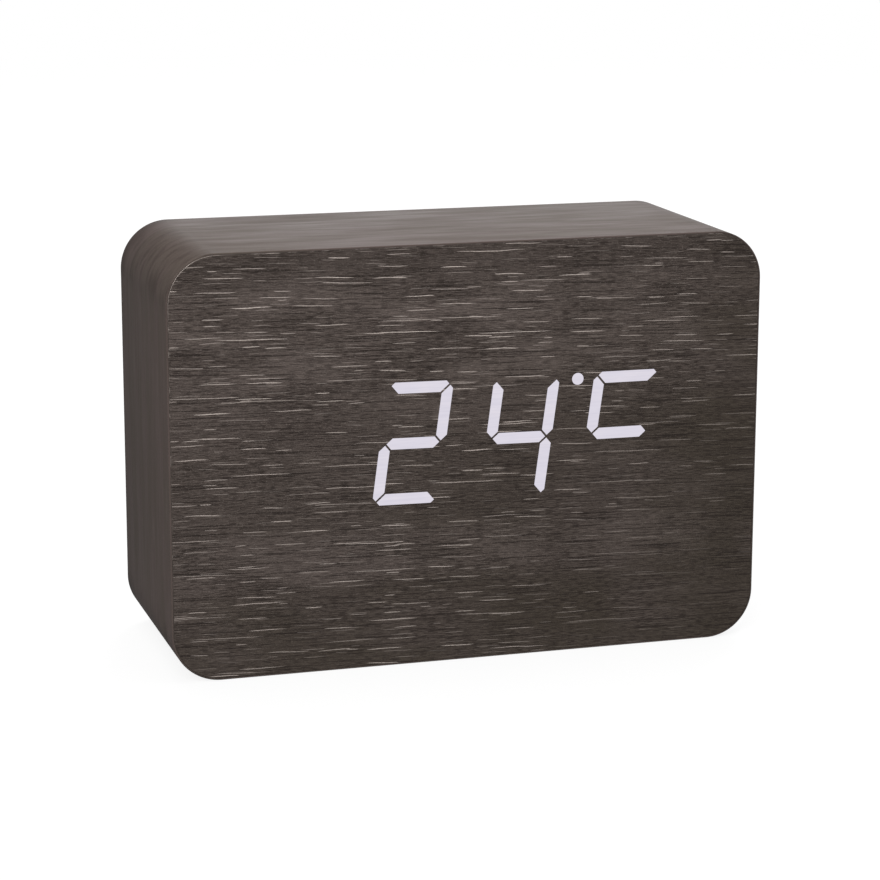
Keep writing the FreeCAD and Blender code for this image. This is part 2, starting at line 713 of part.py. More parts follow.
def make_front_film():
    outline = body("front_film_blank", y=film_back_y, z=middle_z, turn=front_facing)
    sheet_sketch = sketch_on(outline)
    rounded_rectangle(sheet_sketch, frame_width, frame_height, corner_radius - film)
    pad(sheet_sketch, film)
    windows = solid_piece("film_windows", Part.makeCompound(lit_shapes(float(film))),
                          y=film_back_y, z=display_z, turn=front_facing)
    cut = document.addObject("Part::Cut", "front_film")
    cut.Base = outline
    cut.Tool = windows
    cut.Label = "front_film"
    return cut


def make_lit_segments():
    return solid_piece("lit_segments", Part.makeCompound(lit_shapes(float(film))),
                       y=film_back_y, z=display_z, turn=front_facing)


def inset_outline(points, amount):
    """The same outline with every side moved inwards by the amount."""
    count = len(points)
    area = sum(points[i][0] * points[(i + 1) % count][1] - points[(i + 1) % count][0] * points[i][1]
               for i in range(count))
    inward = math.copysign(1.0, area)
    lines = []
    for index in range(count):
        (x1, z1), (x2, z2) = points[index], points[(index + 1) % count]
        long = math.hypot(x2 - x1, z2 - z1)
        normal = (-(z2 - z1) / long * inward, (x2 - x1) / long * inward)
        lines.append((normal, normal[0] * x1 + normal[1] * z1 + amount))
    moved = []
    for index in range(count):
        (a, b), e = lines[index - 1]
        (c, d), f = lines[index]
        scale = a * d - b * c
        moved.append(((e * d - b * f) / scale, (a * f - e * c) / scale))
    return moved


def well_shape(points, deep, draft):
    """A tapered well: the bar's outline at the mouth, a smaller one at the floor, flat walls between."""
    mouth = [Vector(x, z, 0) for x, z in points]
    floor = [Vector(x, z, -deep) for x, z in inset_outline(points, draft)]
    rings = [mouth, floor]
    for index in range(len(points)):
        rings.append([mouth[index - 1], mouth[index], floor[index], floor[index - 1]])
    faces = [Part.Face(Part.makePolygon(ring + ring[:1])) for ring in rings]
    well = Part.Solid(Part.Shell(faces))
    if well.Volume < 0:
        well.reverse()
    return well


def well_shapes(deep):
    """All the wells from their mouths down to a depth; the bars' walls taper, the dots' are straight."""
    draft = float(well_draft) * deep / float(reflector_deep)
    wells = [well_shape(points, deep, draft) for points in outlines(only_lit=False)]
    return wells + [disc(spot, float(dot_width), deep, -deep) for spot in colon_dots + [degree_dot]]


def make_digit_reflector():
    block = body("reflector_block", x=display_x, y=film_back_y, z=display_z, turn=front_facing)
    face = sketch_on(block)
    rectangle(face, reflector_width, reflector_height)
    pad(face, reflector_deep, reverse=True)
    lug_thick = reflector_deep - front_board_thick
    lugs = sketch_on(block, -reflector_deep)
    for x, z in lug_places():
        rounded_rectangle(lugs, reflector_lug, reflector_lug, reflector_lug / 4, x, z)
    bridge = sketch_on(block, -reflector_deep)
    rectangle(bridge, reflector_width + reflector_lug, reflector_height)
    pad(bridge, lug_thick)
    pad(lugs, lug_thick)
    holes = sketch_on(block, -reflector_deep)
    for x, z in lug_places():
        circle(holes, small_screw_width + 2 * screw_gap, x, z)
    pocket(holes, lug_thick, reverse=True)
    wells = solid_piece("reflector_wells", Part.makeCompound(well_shapes(float(reflector_deep))),
                        y=film_back_y, z=display_z, turn=front_facing)
    cut = document.addObject("Part::Cut", "digit_reflector")
    cut.Base = block
    cut.Tool = wells
    cut.Label = "digit_reflector"
    return cut


def make_segment_diffusers():
    return solid_piece("segment_diffusers", Part.makeCompound(well_shapes(float(diffuser_deep))),
                       y=film_back_y, z=display_z, turn=front_facing)


def make_led_board():
    board = body("led_board", x=display_x, y=led_board_back_y, z=display_z, turn=front_facing)
    plate = sketch_on(board)
    rectangle(plate, reflector_width + 2 * reflector_lug, reflector_height)
    for x, z in lug_places():
        circle(plate, small_screw_width + 2 * screw_gap, x, z)
    pad(plate, circuit_thick)
    return board


def make_led_chips():
    """One light chip in the middle of every well, turned along its bar."""
    long, wide, tall = float(led_long), float(led_wide), float(led_tall)
    chips = []
    for points in outlines(only_lit=False):
        xs, zs = [x for x, z in points], [z for x, z in points]
        centre = ((max(xs) + min(xs)) / 2, (max(zs) + min(zs)) / 2)
        upright = max(zs) - min(zs) > max(xs) - min(xs)
        side, rise = (wide, long) if upright else (long, wide)
        chips.append(Part.makeBox(side, rise, tall, Vector(centre[0] - side / 2, centre[1] - rise / 2, 0)))
    for x, z in colon_dots + [degree_dot]:
        chips.append(Part.makeBox(wide, wide, tall, Vector(x - wide / 2, z - wide / 2, 0)))
    return solid_piece("led_chips", Part.makeCompound(chips), y=reflector_back_y, z=display_z,
                       turn=front_facing)


def make_display_screws():
    long = circuit_thick + reflector_deep - (front_board_thick - pilot_deep) - pilot_spare / 2
    screw = screw_shape(small_screw_width, small_head_width, small_head_tall, long)
    places = [(-x, z, 0) for x, z in lug_places()]
    return solid_piece("display_screws", copies(screw, places), x=display_x, y=led_board_back_y,
                       z=display_z, turn=rear_facing)


# Rear panel and battery bay. Rear pieces are drawn as seen from the rear, with Z outwards.

cell_pitch = cell_width + cell_apart
cell_y = panel_outer_y - door_thick - cell_play - cell_width / 2
bay_width = cell_long + nub_long + spring_long + 2 * contact_thick
bay_height = 2 * cell_pitch + cell_width + 2 * cell_room
bay_floor_y = cell_y - cell_width / 2 - cell_under
door_width = bay_width + 2 * door_ledge
door_height = bay_height + 2 * door_ledge
door_low_z = bay_z - door_height / 2
boss_tall = flange_gap + flange_thick + stem_long + plunger_proud + switch_tall
board_back_plane = panel_inner_y - boss_tall
board_front_plane = board_back_plane - circuit_thick
button_places = [button_pitch * step for step in (-1.5, -0.5, 0.5, 1.5)]
button_names = ["set", "alarm", "down", "up"]
cell_rows = [bay_z - cell_pitch, bay_z, bay_z + cell_pitch]
cell_letters = "abc"


def boss_places():
    return corners_of(board_width / 2 - boss_inset, board_height / 2 - boss_inset, button_z - middle_z)


def panel_body(label):
    return body(label, y=panel_inner_y, z=middle_z, turn=rear_facing)


def make_rear_panel():
    panel = panel_body("rear_panel")
    bay_up = bay_z - middle_z
    button_up = button_z - middle_z
    plate = sketch_on(panel)
    rounded_rectangle(plate, inside_width + 2 * (panel_seat - panel_gap),
                      inside_height + 2 * (panel_seat - panel_gap), inner_radius + panel_seat - panel_gap)
    pad(plate, panel_thick)
    lips = sketch_on(panel)
    across = inside_width - 2 * (block_side + panel_gap * 2)
    up = inside_height - 2 * (block_side + panel_gap * 2)
    for side in (-1, 1):
        level = side * (inside_height / 2 - panel_gap - lip_thick / 2)
        rectangle(lips, across, lip_thick, 0, level)
        rectangle(lips, lip_thick, up, side * (inside_width / 2 - panel_gap - lip_thick / 2), 0)
    pad(lips, lip_tall, reverse=True)
    tray = sketch_on(panel)
    rounded_rectangle(tray, bay_width + 2 * tray_wall, bay_height + 2 * tray_wall, tray_wall, 0, bay_up)
    pad(tray, panel_inner_y - bay_floor_y + tray_wall, reverse=True)
    bosses = sketch_on(panel)
    for x, z in boss_places():
        circle(bosses, boss_width, x, z)
    pad(bosses, boss_tall, reverse=True)
    seat = sketch_on(panel, panel_thick)
    rounded_rectangle(seat, door_width + 2 * door_gap, door_height + 2 * door_gap, door_corner, 0, bay_up)
    pocket(seat, door_thick)
    bay = sketch_on(panel, panel_thick)
    rectangle(bay, bay_width, bay_height, 0, bay_up)
    pocket(bay, panel_outer_y - bay_floor_y)
    saddles = sketch_on(panel, bay_floor_y - panel_inner_y)
    for side in (-1, 1):
        rectangle(saddles, saddle_thick, bay_height, side * saddle_place, bay_up)
    pad(saddles, cell_width / 2 + cell_under)
    cradle = sketch_on(panel, 0, "YZ_Plane")
    for row in cell_rows:
        circle(cradle, cell_width + 2 * slip_gap, row - middle_z, cell_y - panel_inner_y)
    pocket(cradle, 2 * saddle_place + 2 * saddle_thick, midplane=True)
    ledge_top = panel_thick - door_thick
    for height, low, high in (
        (ledge_top, -door_gap, door_ledge + slip_gap),
        (plain(0), door_ledge - tray_wall - slip_gap, door_ledge + slip_gap),
    ):
        notches = sketch_on(panel, height)
        for side in (-1, 1):
            rectangle(notches, tab_wide + 2 * tab_side_gap, high - low,
                      side * tab_place, bay_up - door_height / 2 + (low + high) / 2)
        rectangle(notches, latch_wide + 2 * tab_side_gap, high - low,
                  0, bay_up + door_height / 2 - (low + high) / 2)
        pocket(notches, tab_notch + height)
    tab_slots = sketch_on(panel, bay_floor_y - panel_inner_y)
    for side, row in ((-1, cell_rows[2]), (1, cell_rows[0])):
        rectangle(tab_slots, tray_wall + 2 * slip_gap, solder_tab + 2 * slip_gap,
                  side * (bay_width / 2 + tray_wall / 2), row - middle_z)
    pocket(tab_slots, contact_thick + slip_gap, reverse=True)
    holes = sketch_on(panel, panel_thick)
    for x in button_places:
        rounded_rectangle(holes, button_wide + 2 * button_gap, button_tall + 2 * button_gap,
                          button_radius + button_gap, x, button_up)
    circle(holes, jack_width + 2 * jack_gap, jack_place, button_up)
    circle(holes, mic_hole, 0, mic_z - middle_z)
    pocket(holes, panel_thick)
    sound = sketch_on(panel, panel_thick)
    circle(sound, sound_hole, sound_ring - buzzer_place, button_up)
    sound_cut = pocket(sound, panel_thick)
    ring = sketch_on(panel, panel_thick)
    ring.AttachmentOffset = FreeCAD.Placement(
        Vector(-float(buzzer_place), float(button_up), float(panel_thick)), FreeCAD.Rotation())
    ring.setExpression("AttachmentOffset.Base.x", (-buzzer_place).words)
    ring.setExpression("AttachmentOffset.Base.y", button_up.words)
    circle(ring, sound_hole)
    pocket(ring, panel_thick)
    pattern_ring(panel, sound_cut, ring, 6)
    vents = sketch_on(panel, panel_thick)
    for step in (-1.5, -0.5, 0.5, 1.5):
        rounded_rectangle(vents, vent_wide, vent_long, vent_wide / 2 - slip_gap,
                          sensor_place + step * vent_pitch, sensor_z - middle_z)
    pocket(vents, panel_thick)
    screws = sketch_on(panel, panel_thick)
    for x, z in corners_of(block_x, block_z):
        circle(screws, rear_screw_width + 2 * clear_gap, x, z)
    pocket(screws, panel_thick)
    sinks = sketch_on(panel, panel_thick)
    for x, z in corners_of(block_x, block_z):
        circle(sinks, rear_head_width + 2 * lead_in, x, z)
    pocket(sinks, head_sink)
    pilots = sketch_on(panel, -boss_tall)
    for x, z in boss_places():
        circle(pilots, small_screw_width + 2 * screw_gap, x, z)
    pocket(pilots, boss_tall, reverse=True)
    scoop = sketch_on(panel, 0, "YZ_Plane")
    scoop_round = (scoop_tall * scoop_tall + scoop_deep * scoop_deep) / scoop_deep
    circle(scoop, scoop_round, bay_up + door_height / 2, panel_thick - scoop_deep + scoop_round / 2)
    pocket(scoop, scoop_wide, midplane=True)
    return panel


def make_battery_door():
    """The door tips out on its lower outer edge, where its own frame lies; Y goes up along it."""
    door = body("battery_door", y=panel_outer_y, z=door_low_z, turn=rear_facing)
    plate = sketch_on(door)
    rounded_rectangle(plate, door_width, door_height, door_corner - door_gap, 0, door_height / 2)
    pad(plate, door_thick, reverse=True)
    finish_edges("Chamfer", door, lambda middle, along, edge: middle.z > -0.01, door_edge)
    under = -panel_thick - tab_gap
    tab_root = door_ledge + tab_gap
    catch_tip = door_height + catch_reach
    feet = [
        (tab_place, tab_wide, 0, -tab_reach, tab_root, tab_thick),
        (-tab_place, tab_wide, 0, -tab_reach, tab_root, tab_thick),
        (0, latch_wide, door_height, catch_tip, door_height - tab_root, catch_thick),
    ]
    for across, wide, edge, tip, root, thick in feet:
        hook = sketch_on(door, across, "YZ_Plane")
        polygon(hook, [(edge, -door_thick), (edge, under), (tip, under), (tip, under - thick),
                       (root, under - thick), (root, -door_thick)])
        pad(hook, wide, midplane=True)
    slots = sketch_on(door)
    for side in (-1, 1):
        rectangle(slots, latch_slot, latch_long, side * (latch_wide / 2 + latch_slot / 2),
                  door_height - latch_long / 2)
    pocket(slots, door_thick)
    grip = sketch_on(door)
    rectangle(grip, latch_wide - 2 * grip_width, grip_width, 0, door_height - grip_pitch)
    ridge = pad(grip, grip_proud)
    pattern_line(door, ridge, grip, "V_Axis", 3 * grip_pitch, 4, reverse=True)
    return door


def make_cells():
    """Three cells in series, so the middle one points the other way."""
    made = []
    for letter, row, way in zip(cell_letters, cell_rows, (1, -1, 1)):
        cell = body("battery_cell_" + letter, y=cell_y, z=row, turn=rear_facing)
        side = sketch_on(cell)
        start = spring_long - (cell_long + nub_long + spring_long) / 2
        shoulder = start + cell_long
        corners = [
            (start, 0),
            (start, cell_width / 2),
            (shoulder, cell_width / 2),
            (shoulder, nub_width / 2),
            (shoulder + nub_long, nub_width / 2),
            (shoulder + nub_long, 0),
        ]
        polygon(side, [(way * x, y) for x, y in corners])
        revolve(side, "H_Axis")
        made.append(cell)
    return made


def arc_between(start, start_way, end, end_way):
    """Two arcs that join at a common tangent: the spring's centre line over a short turn."""
    gap = end - start
    both = start_way + end_way
    bend = both.dot(both) - 4
    mixed = gap.dot(both)
    reach = (mixed - math.sqrt(mixed * mixed - bend * gap.dot(gap))) / bend
    joint = (start + start_way * reach + end - end_way * reach) * 0.5
    joint_way = (end - end_way * reach) - (start + start_way * reach)
    joint_way.normalize()
    return [arc_from(start, start_way, joint), arc_from(joint, joint_way, end)]


def arc_from(start, way, end):
    """The arc that leaves start in a direction and reaches end."""
    chord = end - start
    across = way.cross(chord).cross(way)
    across.normalize()
    radius = chord.dot(chord) / (2 * chord.dot(across))
    centre = start + across * radius
    middle = (start + end) * 0.5 - centre
    middle.normalize()
    return Part.Arc(start, centre + middle * abs(radius), end).toShape()


def swept(path, profile):
    """A closed pipe along a path, with its faces outwards."""
    shell = Part.BRepOffsetAPI.MakePipeShell(path)
    shell.add(profile)
    shell.build()
    shell.makeSolid()
    shape = shell.shape()
    if shape.Volume < 0:
        shape.reverse()
    return shape


def wire_section(centre, along, width, towards):
    """A wire's section as a hexagon across its path, with one corner towards a direction."""
    side = along.cross(towards)
    side.normalize()
    front = side.cross(along)
    front.normalize()
    corners = []
    for number in range(6):
        angle = math.radians(60 * number)
        corners.append(centre + (front * math.cos(angle) + side * math.sin(angle)) * (width / 2))
    return Part.makePolygon(corners + corners[:1])


def spring_shape():
    """A conical contact spring, its wide end at height zero."""
    wire = float(spring_wire)
    rise = float(spring_long) - wire - 2 * float(slip_gap)
    steps = int(float(spring_half_turns))

    def at(share):
        radius = float(spring_base) + (float(spring_tip) - float(spring_base)) * share
        angle = math.pi * steps * share
        height = wire / 2 + float(slip_gap) + rise * share
        return Vector(radius * math.cos(angle), radius * math.sin(angle), height)

    def way(share):
        small = 1e-5
        direction = at(share + small) - at(share - small)
        direction.normalize()
        return direction

    edges = []
    for step in range(steps):
        first, last = step / steps, (step + 1) / steps
        edges += arc_between(at(first), way(first), at(last), way(last))
    per_half_turn = 80
    count = steps * per_half_turn
    samples = [at(number / count) for number in range(count + 1)]
    least = min(
        (samples[i] - samples[j]).Length - wire
        for i in range(count + 1) for j in range(i + per_half_turn, count + 1)
    )
    print("contact spring: least gap between turns %.2f mm" % least)
    return swept(Part.Wire(edges), wire_section(at(0), way(0), wire, Vector(0, 0, 1)))


def contact_ends():
    """For each cell: its row and the side of the bay, from the rear, that holds its spring."""
    return list(zip(cell_rows, (-1, 1, -1)))


def make_contact_springs():
    spring = spring_shape()
    group = []
    for row, side in contact_ends():
        twin = spring.copy()
        twin.rotate(Vector(0, 0, 0), Vector(0, 1, 0), 90 * -side)
        twin.translate(Vector(side * (float(bay_width) / 2 - float(contact_thick)), float(row), 0))
        group.append(twin)
    return solid_piece("contact_springs", Part.makeCompound(group), y=cell_y, turn=rear_facing)


def make_contact_plates():
    """Two end plates with solder tabs and two plates that link neighbouring cells."""
    thick, side_long = float(contact_thick), float(plate_side)
    deep_edge = float(bay_floor_y - cell_y)
    group = []
    for side, rows in ((-1, (2,)), (-1, (0, 1)), (1, (0,)), (1, (1, 2))):
        low, high = float(cell_rows[rows[0]]), float(cell_rows[rows[-1]])
        inner = side * (float(bay_width) / 2 - thick)
        left = min(inner, inner + side * thick)
        plate = Part.makeBox(thick, high - low + side_long, side_long / 2 - deep_edge,
                             Vector(left, low - side_long / 2, deep_edge))
        if len(rows) == 1:
            long = float(tray_wall) + thick + float(solder_out)
            start = inner if side > 0 else inner - long
            tab = Part.makeBox(long, float(solder_tab), thick,
                               Vector(start, low - float(solder_tab) / 2, deep_edge))
            plate = plate.fuse(tab).removeSplitter()
        group.append(plate)
    return solid_piece("contact_plates", Part.makeCompound(group), y=cell_y, turn=rear_facing)


def make_rear_screws():
    screw = screw_shape(rear_screw_width, rear_head_width, rear_head_tall, rear_screw_long, head_bevel)
    places = [(x, z, 0) for x, z in corners_of(block_x, block_z)]
    return solid_piece("rear_screws", copies(screw, places), y=panel_outer_y - head_sink, z=middle_z,
                       turn=rear_facing)


# Buttons and main board

def make_button(name, x):
    cap = body(name + "_button", x=-x, y=panel_inner_y - flange_gap, z=button_z, turn=rear_facing)
    crown = sketch_on(cap)
    rounded_rectangle(crown, button_wide, button_tall, button_radius)
    height = panel_thick + flange_gap + button_proud
    pad(crown, height)
    flange = sketch_on(cap)
    rounded_rectangle(flange, button_wide + 2 * button_flange, button_tall + 2 * button_flange,
                      button_radius + button_flange)
    pad(flange, flange_thick, reverse=True)
    stem = sketch_on(cap, -flange_thick)
    circle(stem, plunger_width)
    pad(stem, stem_long, reverse=True)
    finish_edges("Chamfer", cap, lambda middle, along, edge: middle.z > float(height) - 0.01, button_edge)
    return cap


def make_plunger(name, x):
    top_y = panel_inner_y - flange_gap - flange_thick - stem_long
    plunger = body(name + "_plunger", x=-x, y=top_y, z=button_z, turn=rear_facing)
    round_sketch = sketch_on(plunger)
    circle(round_sketch, plunger_width)
    pad(round_sketch, plunger_proud + plunger_deep, reverse=True)
    return plunger


def make_tact_switches():
    side, tall = float(switch_side), float(switch_tall)
    case = Part.makeBox(side, side, tall, Vector(-side / 2, -side / 2, 0))
    bore_deep = float(plunger_deep) + 2 * float(button_travel)
    bore = Part.makeCylinder(float(plunger_width) / 2 + float(plunger_gap), bore_deep,
                             Vector(0, 0, tall - bore_deep))
    switch = case.cut(bore)
    places = [(x, 0, 0) for x in button_places]
    return solid_piece("tact_switches", copies(switch, places), y=board_back_plane, z=button_z,
                       turn=rear_facing)


def make_main_board():
    board = body("main_board", y=board_front_plane, z=button_z, turn=rear_facing)
    plate = sketch_on(board)
    rounded_rectangle(plate, board_width, board_height, board_corner)
    for x, z in boss_places():
        circle(plate, small_screw_width + 2 * screw_gap, x, z + middle_z - button_z)
    pad(plate, circuit_thick)
    return board


def make_board_screws():
    long = circuit_thick + boss_tall - pilot_spare
    screw = screw_shape(small_screw_width, small_head_width, small_head_tall, long)
    places = [(-x, z, 0) for x, z in boss_places()]
    return solid_piece("board_screws", copies(screw, places), y=board_front_plane, z=middle_z,
                       turn=front_facing)


def chip_shape(long, wide, legs):
    """A moulded chip with bent legs along its two long sides, standing on height zero."""
    long, wide, tall = float(long), float(wide), float(chip_tall)
    clear, foot, thick = float(chip_clear), float(leg_foot), float(leg_thick)
    reach, pitch = wide / 2 + float(leg_reach), float(leg_pitch)
    shape = Part.makeBox(long, wide, tall - clear, Vector(-long / 2, -wide / 2, clear))
    middle = clear + (tall - clear) / 2
    heel = reach - foot
    side_view = [
        (wide / 2, middle - thick / 2), (heel, middle - thick / 2), (heel, 0), (reach, 0),
        (reach, thick), (heel + thick, thick), (heel + thick, middle + thick / 2),
        (wide / 2, middle + thick / 2),
    ]
    for number in range(legs):
        x = (number - (legs - 1) / 2) * pitch - float(leg_wide) / 2
        for side in (-1, 1):
            points = [Vector(x, side * y, z) for y, z in side_view]
            leg = Part.Face(Part.makePolygon(points + points[:1])).extrude(Vector(float(leg_wide), 0, 0))
            shape = shape.fuse(leg)
    return shape.removeSplitter()


def make_controller_chip():
    return solid_piece("controller_chip", chip_shape(controller_long, controller_wide, 9),
                       x=controller_x, y=board_front_plane, z=button_z + 1, turn=front_facing)


def make_display_driver():
    return solid_piece("display_driver", chip_shape(driver_long, driver_wide, 7),
                       x=display_x + driver_x, y=led_board_back_y, z=display_z, turn=rear_facing)


def make_clock_crystal():
    """A small metal can lying on the board, with its two leads."""
    radius, wire, reach = float(crystal_width) / 2, float(crystal_wire) / 2, float(crystal_lead)
    up = radius + float(slip_gap)
    can = Part.makeCylinder(radius, float(crystal_long), Vector(0, 0, up), Vector(1, 0, 0))
    for side in (-1, 1):
        start = Vector(-reach, side * radius * 0.35, up)
        can = can.fuse(Part.makeCylinder(wire, reach, start, Vector(1, 0, 0)))
    return solid_piece("clock_crystal", can, x=crystal_x, y=board_front_plane, z=button_z + crystal_up,
                       turn=front_facing)


def make_capacitors():
    """Two standing cans with the crimp above their base."""
    crimp, up, tall = float(crimp_deep), float(crimp_up), float(can_tall)
    group = []
    for x, width in ((large_can_x, large_can), (small_can_x, small_can)):
        radius = float(width) / 2
        outline = [(0, 0), (radius, 0), (radius, up - crimp), (radius - crimp, up), (radius, up + crimp),
                   (radius, tall), (0, tall)]
        points = [Vector(along, 0, height) for along, height in outline]
        can = Part.Face(Part.makePolygon(points + points[:1])).revolve(Vector(0, 0, 0), Vector(0, 0, 1), 360)
        can.translate(Vector(float(x), 0, 0))
        group.append(can)
    return solid_piece("capacitors", Part.makeCompound(group), y=board_front_plane, z=button_z - can_drop,
                       turn=front_facing)


def make_buzzer():
    buzzer = body("buzzer", x=buzzer_place, y=board_back_plane, z=button_z, turn=rear_facing)
    outside = sketch_on(buzzer)
    circle(outside, buzzer_width)
    pad(outside, buzzer_tall)
    mouth = sketch_on(buzzer, buzzer_tall)
    circle(mouth, buzzer_mouth)
    pocket(mouth, buzzer_tall / 2)
    finish_edges("Chamfer", buzzer,
                 lambda middle, along, edge: middle.z > float(buzzer_tall) - 0.01
                 and edge.Length > float(buzzer_mouth) * 4, rim_bevel)
    return buzzer


def make_sound_sensor():
    sensor = body("sound_sensor", y=board_back_plane, z=mic_z, turn=rear_facing)
    boot = sketch_on(sensor)
    circle(boot, mic_width)
    pad(boot, boss_tall)
    port = sketch_on(sensor, boss_tall)
    circle(port, mic_hole)
    pocket(port, boss_tall / 2)
    return sensor


def make_power_jack():
    jack = body("power_jack", x=-jack_place, y=board_back_plane, z=button_z, turn=rear_facing)
    base = sketch_on(jack)
    rounded_rectangle(base, jack_base, jack_base, tray_wall / 2)
    pad(base, boss_tall - slip_gap)
    collar = sketch_on(jack, boss_tall - slip_gap)
    circle(collar, jack_width)
    pad(collar, panel_thick - jack_sunk + slip_gap)
    bore = sketch_on(jack, boss_tall + panel_thick - jack_sunk)
    circle(bore, jack_bore)
    pocket(bore, jack_deep)
    finish_edges("Chamfer", jack,
                 lambda middle, along, edge: middle.z > float(boss_tall + panel_thick - jack_sunk) - 0.01
                 and edge.Length < float(jack_bore) * 3.5, rim_bevel)
    return jack


def make_jack_pin():
    pin = body("power_jack_pin", x=-jack_place, y=board_back_plane, z=button_z, turn=rear_facing)
    start = boss_tall + panel_thick - jack_sunk - jack_deep
    root = sketch_on(pin, start)
    circle(root, jack_pin)
    pad(root, jack_deep - jack_pin)
    finish_edges("Chamfer", pin,
                 lambda middle, along, edge: middle.z > float(start + jack_deep - jack_pin) - 0.01,
                 jack_pin * 0.25)
    return pin


# Time-signal receiver, on the floor of the frame

floor_z = film + wall
rod_z = floor_z + rod_up


def round_piece(label, profile, x=0):
    """A body turned about the rod's axis from its half section."""
    made = body(label, x=x, y=rod_y, z=rod_z, turn=front_facing)
    half = sketch_on(made)
    polygon(half, profile)
    revolve(half, "H_Axis")
    return made


def make_ferrite_rod():
    half = rod_long / 2
    return round_piece("ferrite_rod", [(-half, 0), (half, 0), (half, rod_width / 2), (-half, rod_width / 2)])


def make_antenna_former():
    bore = rod_width / 2 + slip_gap
    tube = bore + former_wall
    rim = tube + former_flange
    half = former_long / 2
    inner = half - former_wall
    return round_piece("antenna_former", [
        (-half, bore), (half, bore), (half, rim), (inner, rim), (inner, tube),
        (-inner, tube), (-inner, rim), (-half, rim),
    ])


def make_antenna_coil():
    tube = rod_width / 2 + slip_gap + former_wall
    inner = former_long / 2 - former_wall
    return round_piece("antenna_coil", [
        (-inner, tube), (inner, tube), (inner, tube + coil_thick), (-inner, tube + coil_thick),
    ])


def make_antenna_holders():
    """Two snap-in saddles: a foot, a bore for the rod and a mouth narrower than the rod."""
    bore = float(rod_width) / 2 + float(slip_gap)
    outside = bore + float(holder_wall)
    up, long = float(rod_up), float(holder_long)
    foot_half, post_half, mouth_half = outside + float(holder_foot), outside * 0.65, bore * 0.8
    foot = Part.makeBox(long, 2 * foot_half, float(holder_wall), Vector(-long / 2, -foot_half, -up))
    post = Part.makeBox(long, 2 * post_half, up, Vector(-long / 2, -post_half, -up))
    ring = Part.makeCylinder(outside, long, Vector(-long / 2, 0, 0), Vector(1, 0, 0))
    hole = Part.makeCylinder(bore, long * 2, Vector(-long, 0, 0), Vector(1, 0, 0))
    mouth = Part.makeBox(long * 2, 2 * mouth_half, outside * 2, Vector(-long, -mouth_half, 0))
    holder = foot.fuse(post).fuse(ring).cut(hole).cut(mouth).removeSplitter()
    places = [(side * holder_place, 0, 0) for side in (-1, 1)]
    return solid_piece("antenna_holders", copies(holder, places), y=rod_y, z=rod_z)


def make_receiver():
    pad_body = body("receiver_pad", x=receiver_x, y=rod_y, z=floor_z)
    foam = sketch_on(pad_body)
    rectangle(foam, receiver_long * 0.8, receiver_wide * 0.8)
    pad(foam, pad_thick)
    board = body("receiver_board", x=receiver_x, y=rod_y, z=floor_z + pad_thick)
    plate = sketch_on(board)
    rectangle(plate, receiver_long, receiver_wide)
    pad(plate, circuit_thick)
    chip = solid_piece("receiver_chip", chip_shape(tuner_long, tuner_wide, 7), x=receiver_x, y=rod_y,
                       z=floor_z + pad_thick + circuit_thick)
    return [pad_body, board, chip]


# Wires: straight runs joined by tangent arcs

def wire_path(points):
    """Each arc is as large as its two runs allow."""
    points = [Vector(*[float(amount) for amount in point]) for point in points]
    edges, start = [], points[0]
    for before, corner, after in zip(points, points[1:], points[2:]):
        into, out = corner - before, after - corner
        turn = into.getAngle(out)
        run = min(into.Length, out.Length)
        reach = 0.45 * run
        radius = reach / math.tan(turn / 2)
        into.normalize()
        out.normalize()
        first, last = corner - into * reach, corner + out * reach
        inward = (out - into).normalize()
        centre = corner + inward * (radius / math.cos(turn / 2))
        middle = centre - inward * radius
        edges.append(Part.LineSegment(start, first).toShape())
        edges.append(Part.Arc(first, middle, last).toShape())
        start = last
    edges.append(Part.LineSegment(start, points[-1]).toShape())
    return Part.Wire(edges)


def wire_along(points, width):
    """A six-sided wire along a route."""
    start, following = [Vector(*[float(amount) for amount in point]) for point in points[:2]]
    along = following - start
    along.normalize()
    return swept(wire_path(points), wire_section(start, along, float(width), Vector(1, 0, 0)))


def flat_lead(points, cores, width):
    """A flat lead of several cores side by side along X, which bends in the plane across X."""
    start = Vector(*[float(amount) for amount in points[0]])
    half_wide, half_thick = cores * float(width) / 2, float(width) / 2
    corners = [start + Vector(side * half_wide, side * level * half_thick, 0)
               for side in (-1, 1) for level in (-1, 1)]
    return swept(wire_path(points), Part.makePolygon(corners + corners[:1]))


def make_temperature_sensor():
    """A dipped bead behind the vent slots, on a flat lead from the main board."""
    x, y, z = -sensor_place, panel_inner_y - sensor_back, sensor_z
    bead = Part.makeCylinder(float(bead_width) / 2, float(bead_long),
                             Vector(float(x), float(y), float(z - bead_long / 2)))
    aside, top = x + 6, z + 35
    route = [(x, y, z + bead_long / 4), (x, y, z + 14), (aside, y, z + 22), (aside, y, top),
             (aside, board_back_plane, top)]
    return solid_piece("temperature_sensor", bead.fuse(flat_lead(route, 2, fine_lead_width)).removeSplitter())


def make_battery_leads():
    """From each end plate's solder tab up to the front of the main board."""
    wires = []
    tab_out = bay_width / 2 + tray_wall + solder_out / 2
    top = button_z - board_height / 2 + 5
    for side, row in ((1, cell_rows[2]), (-1, cell_rows[0])):
        x, y = side * tab_out, bay_floor_y - lead_width / 2
        over, inward = x + side * 2, y - 5
        route = [(x, y, row - 1), (x, y, row + 6), (over, inward, row + 13), (over, inward, top),
                 (over, board_front_plane, top)]
        wires.append(wire_along(route, lead_width))
    return solid_piece("battery_leads", Part.makeCompound(wires))


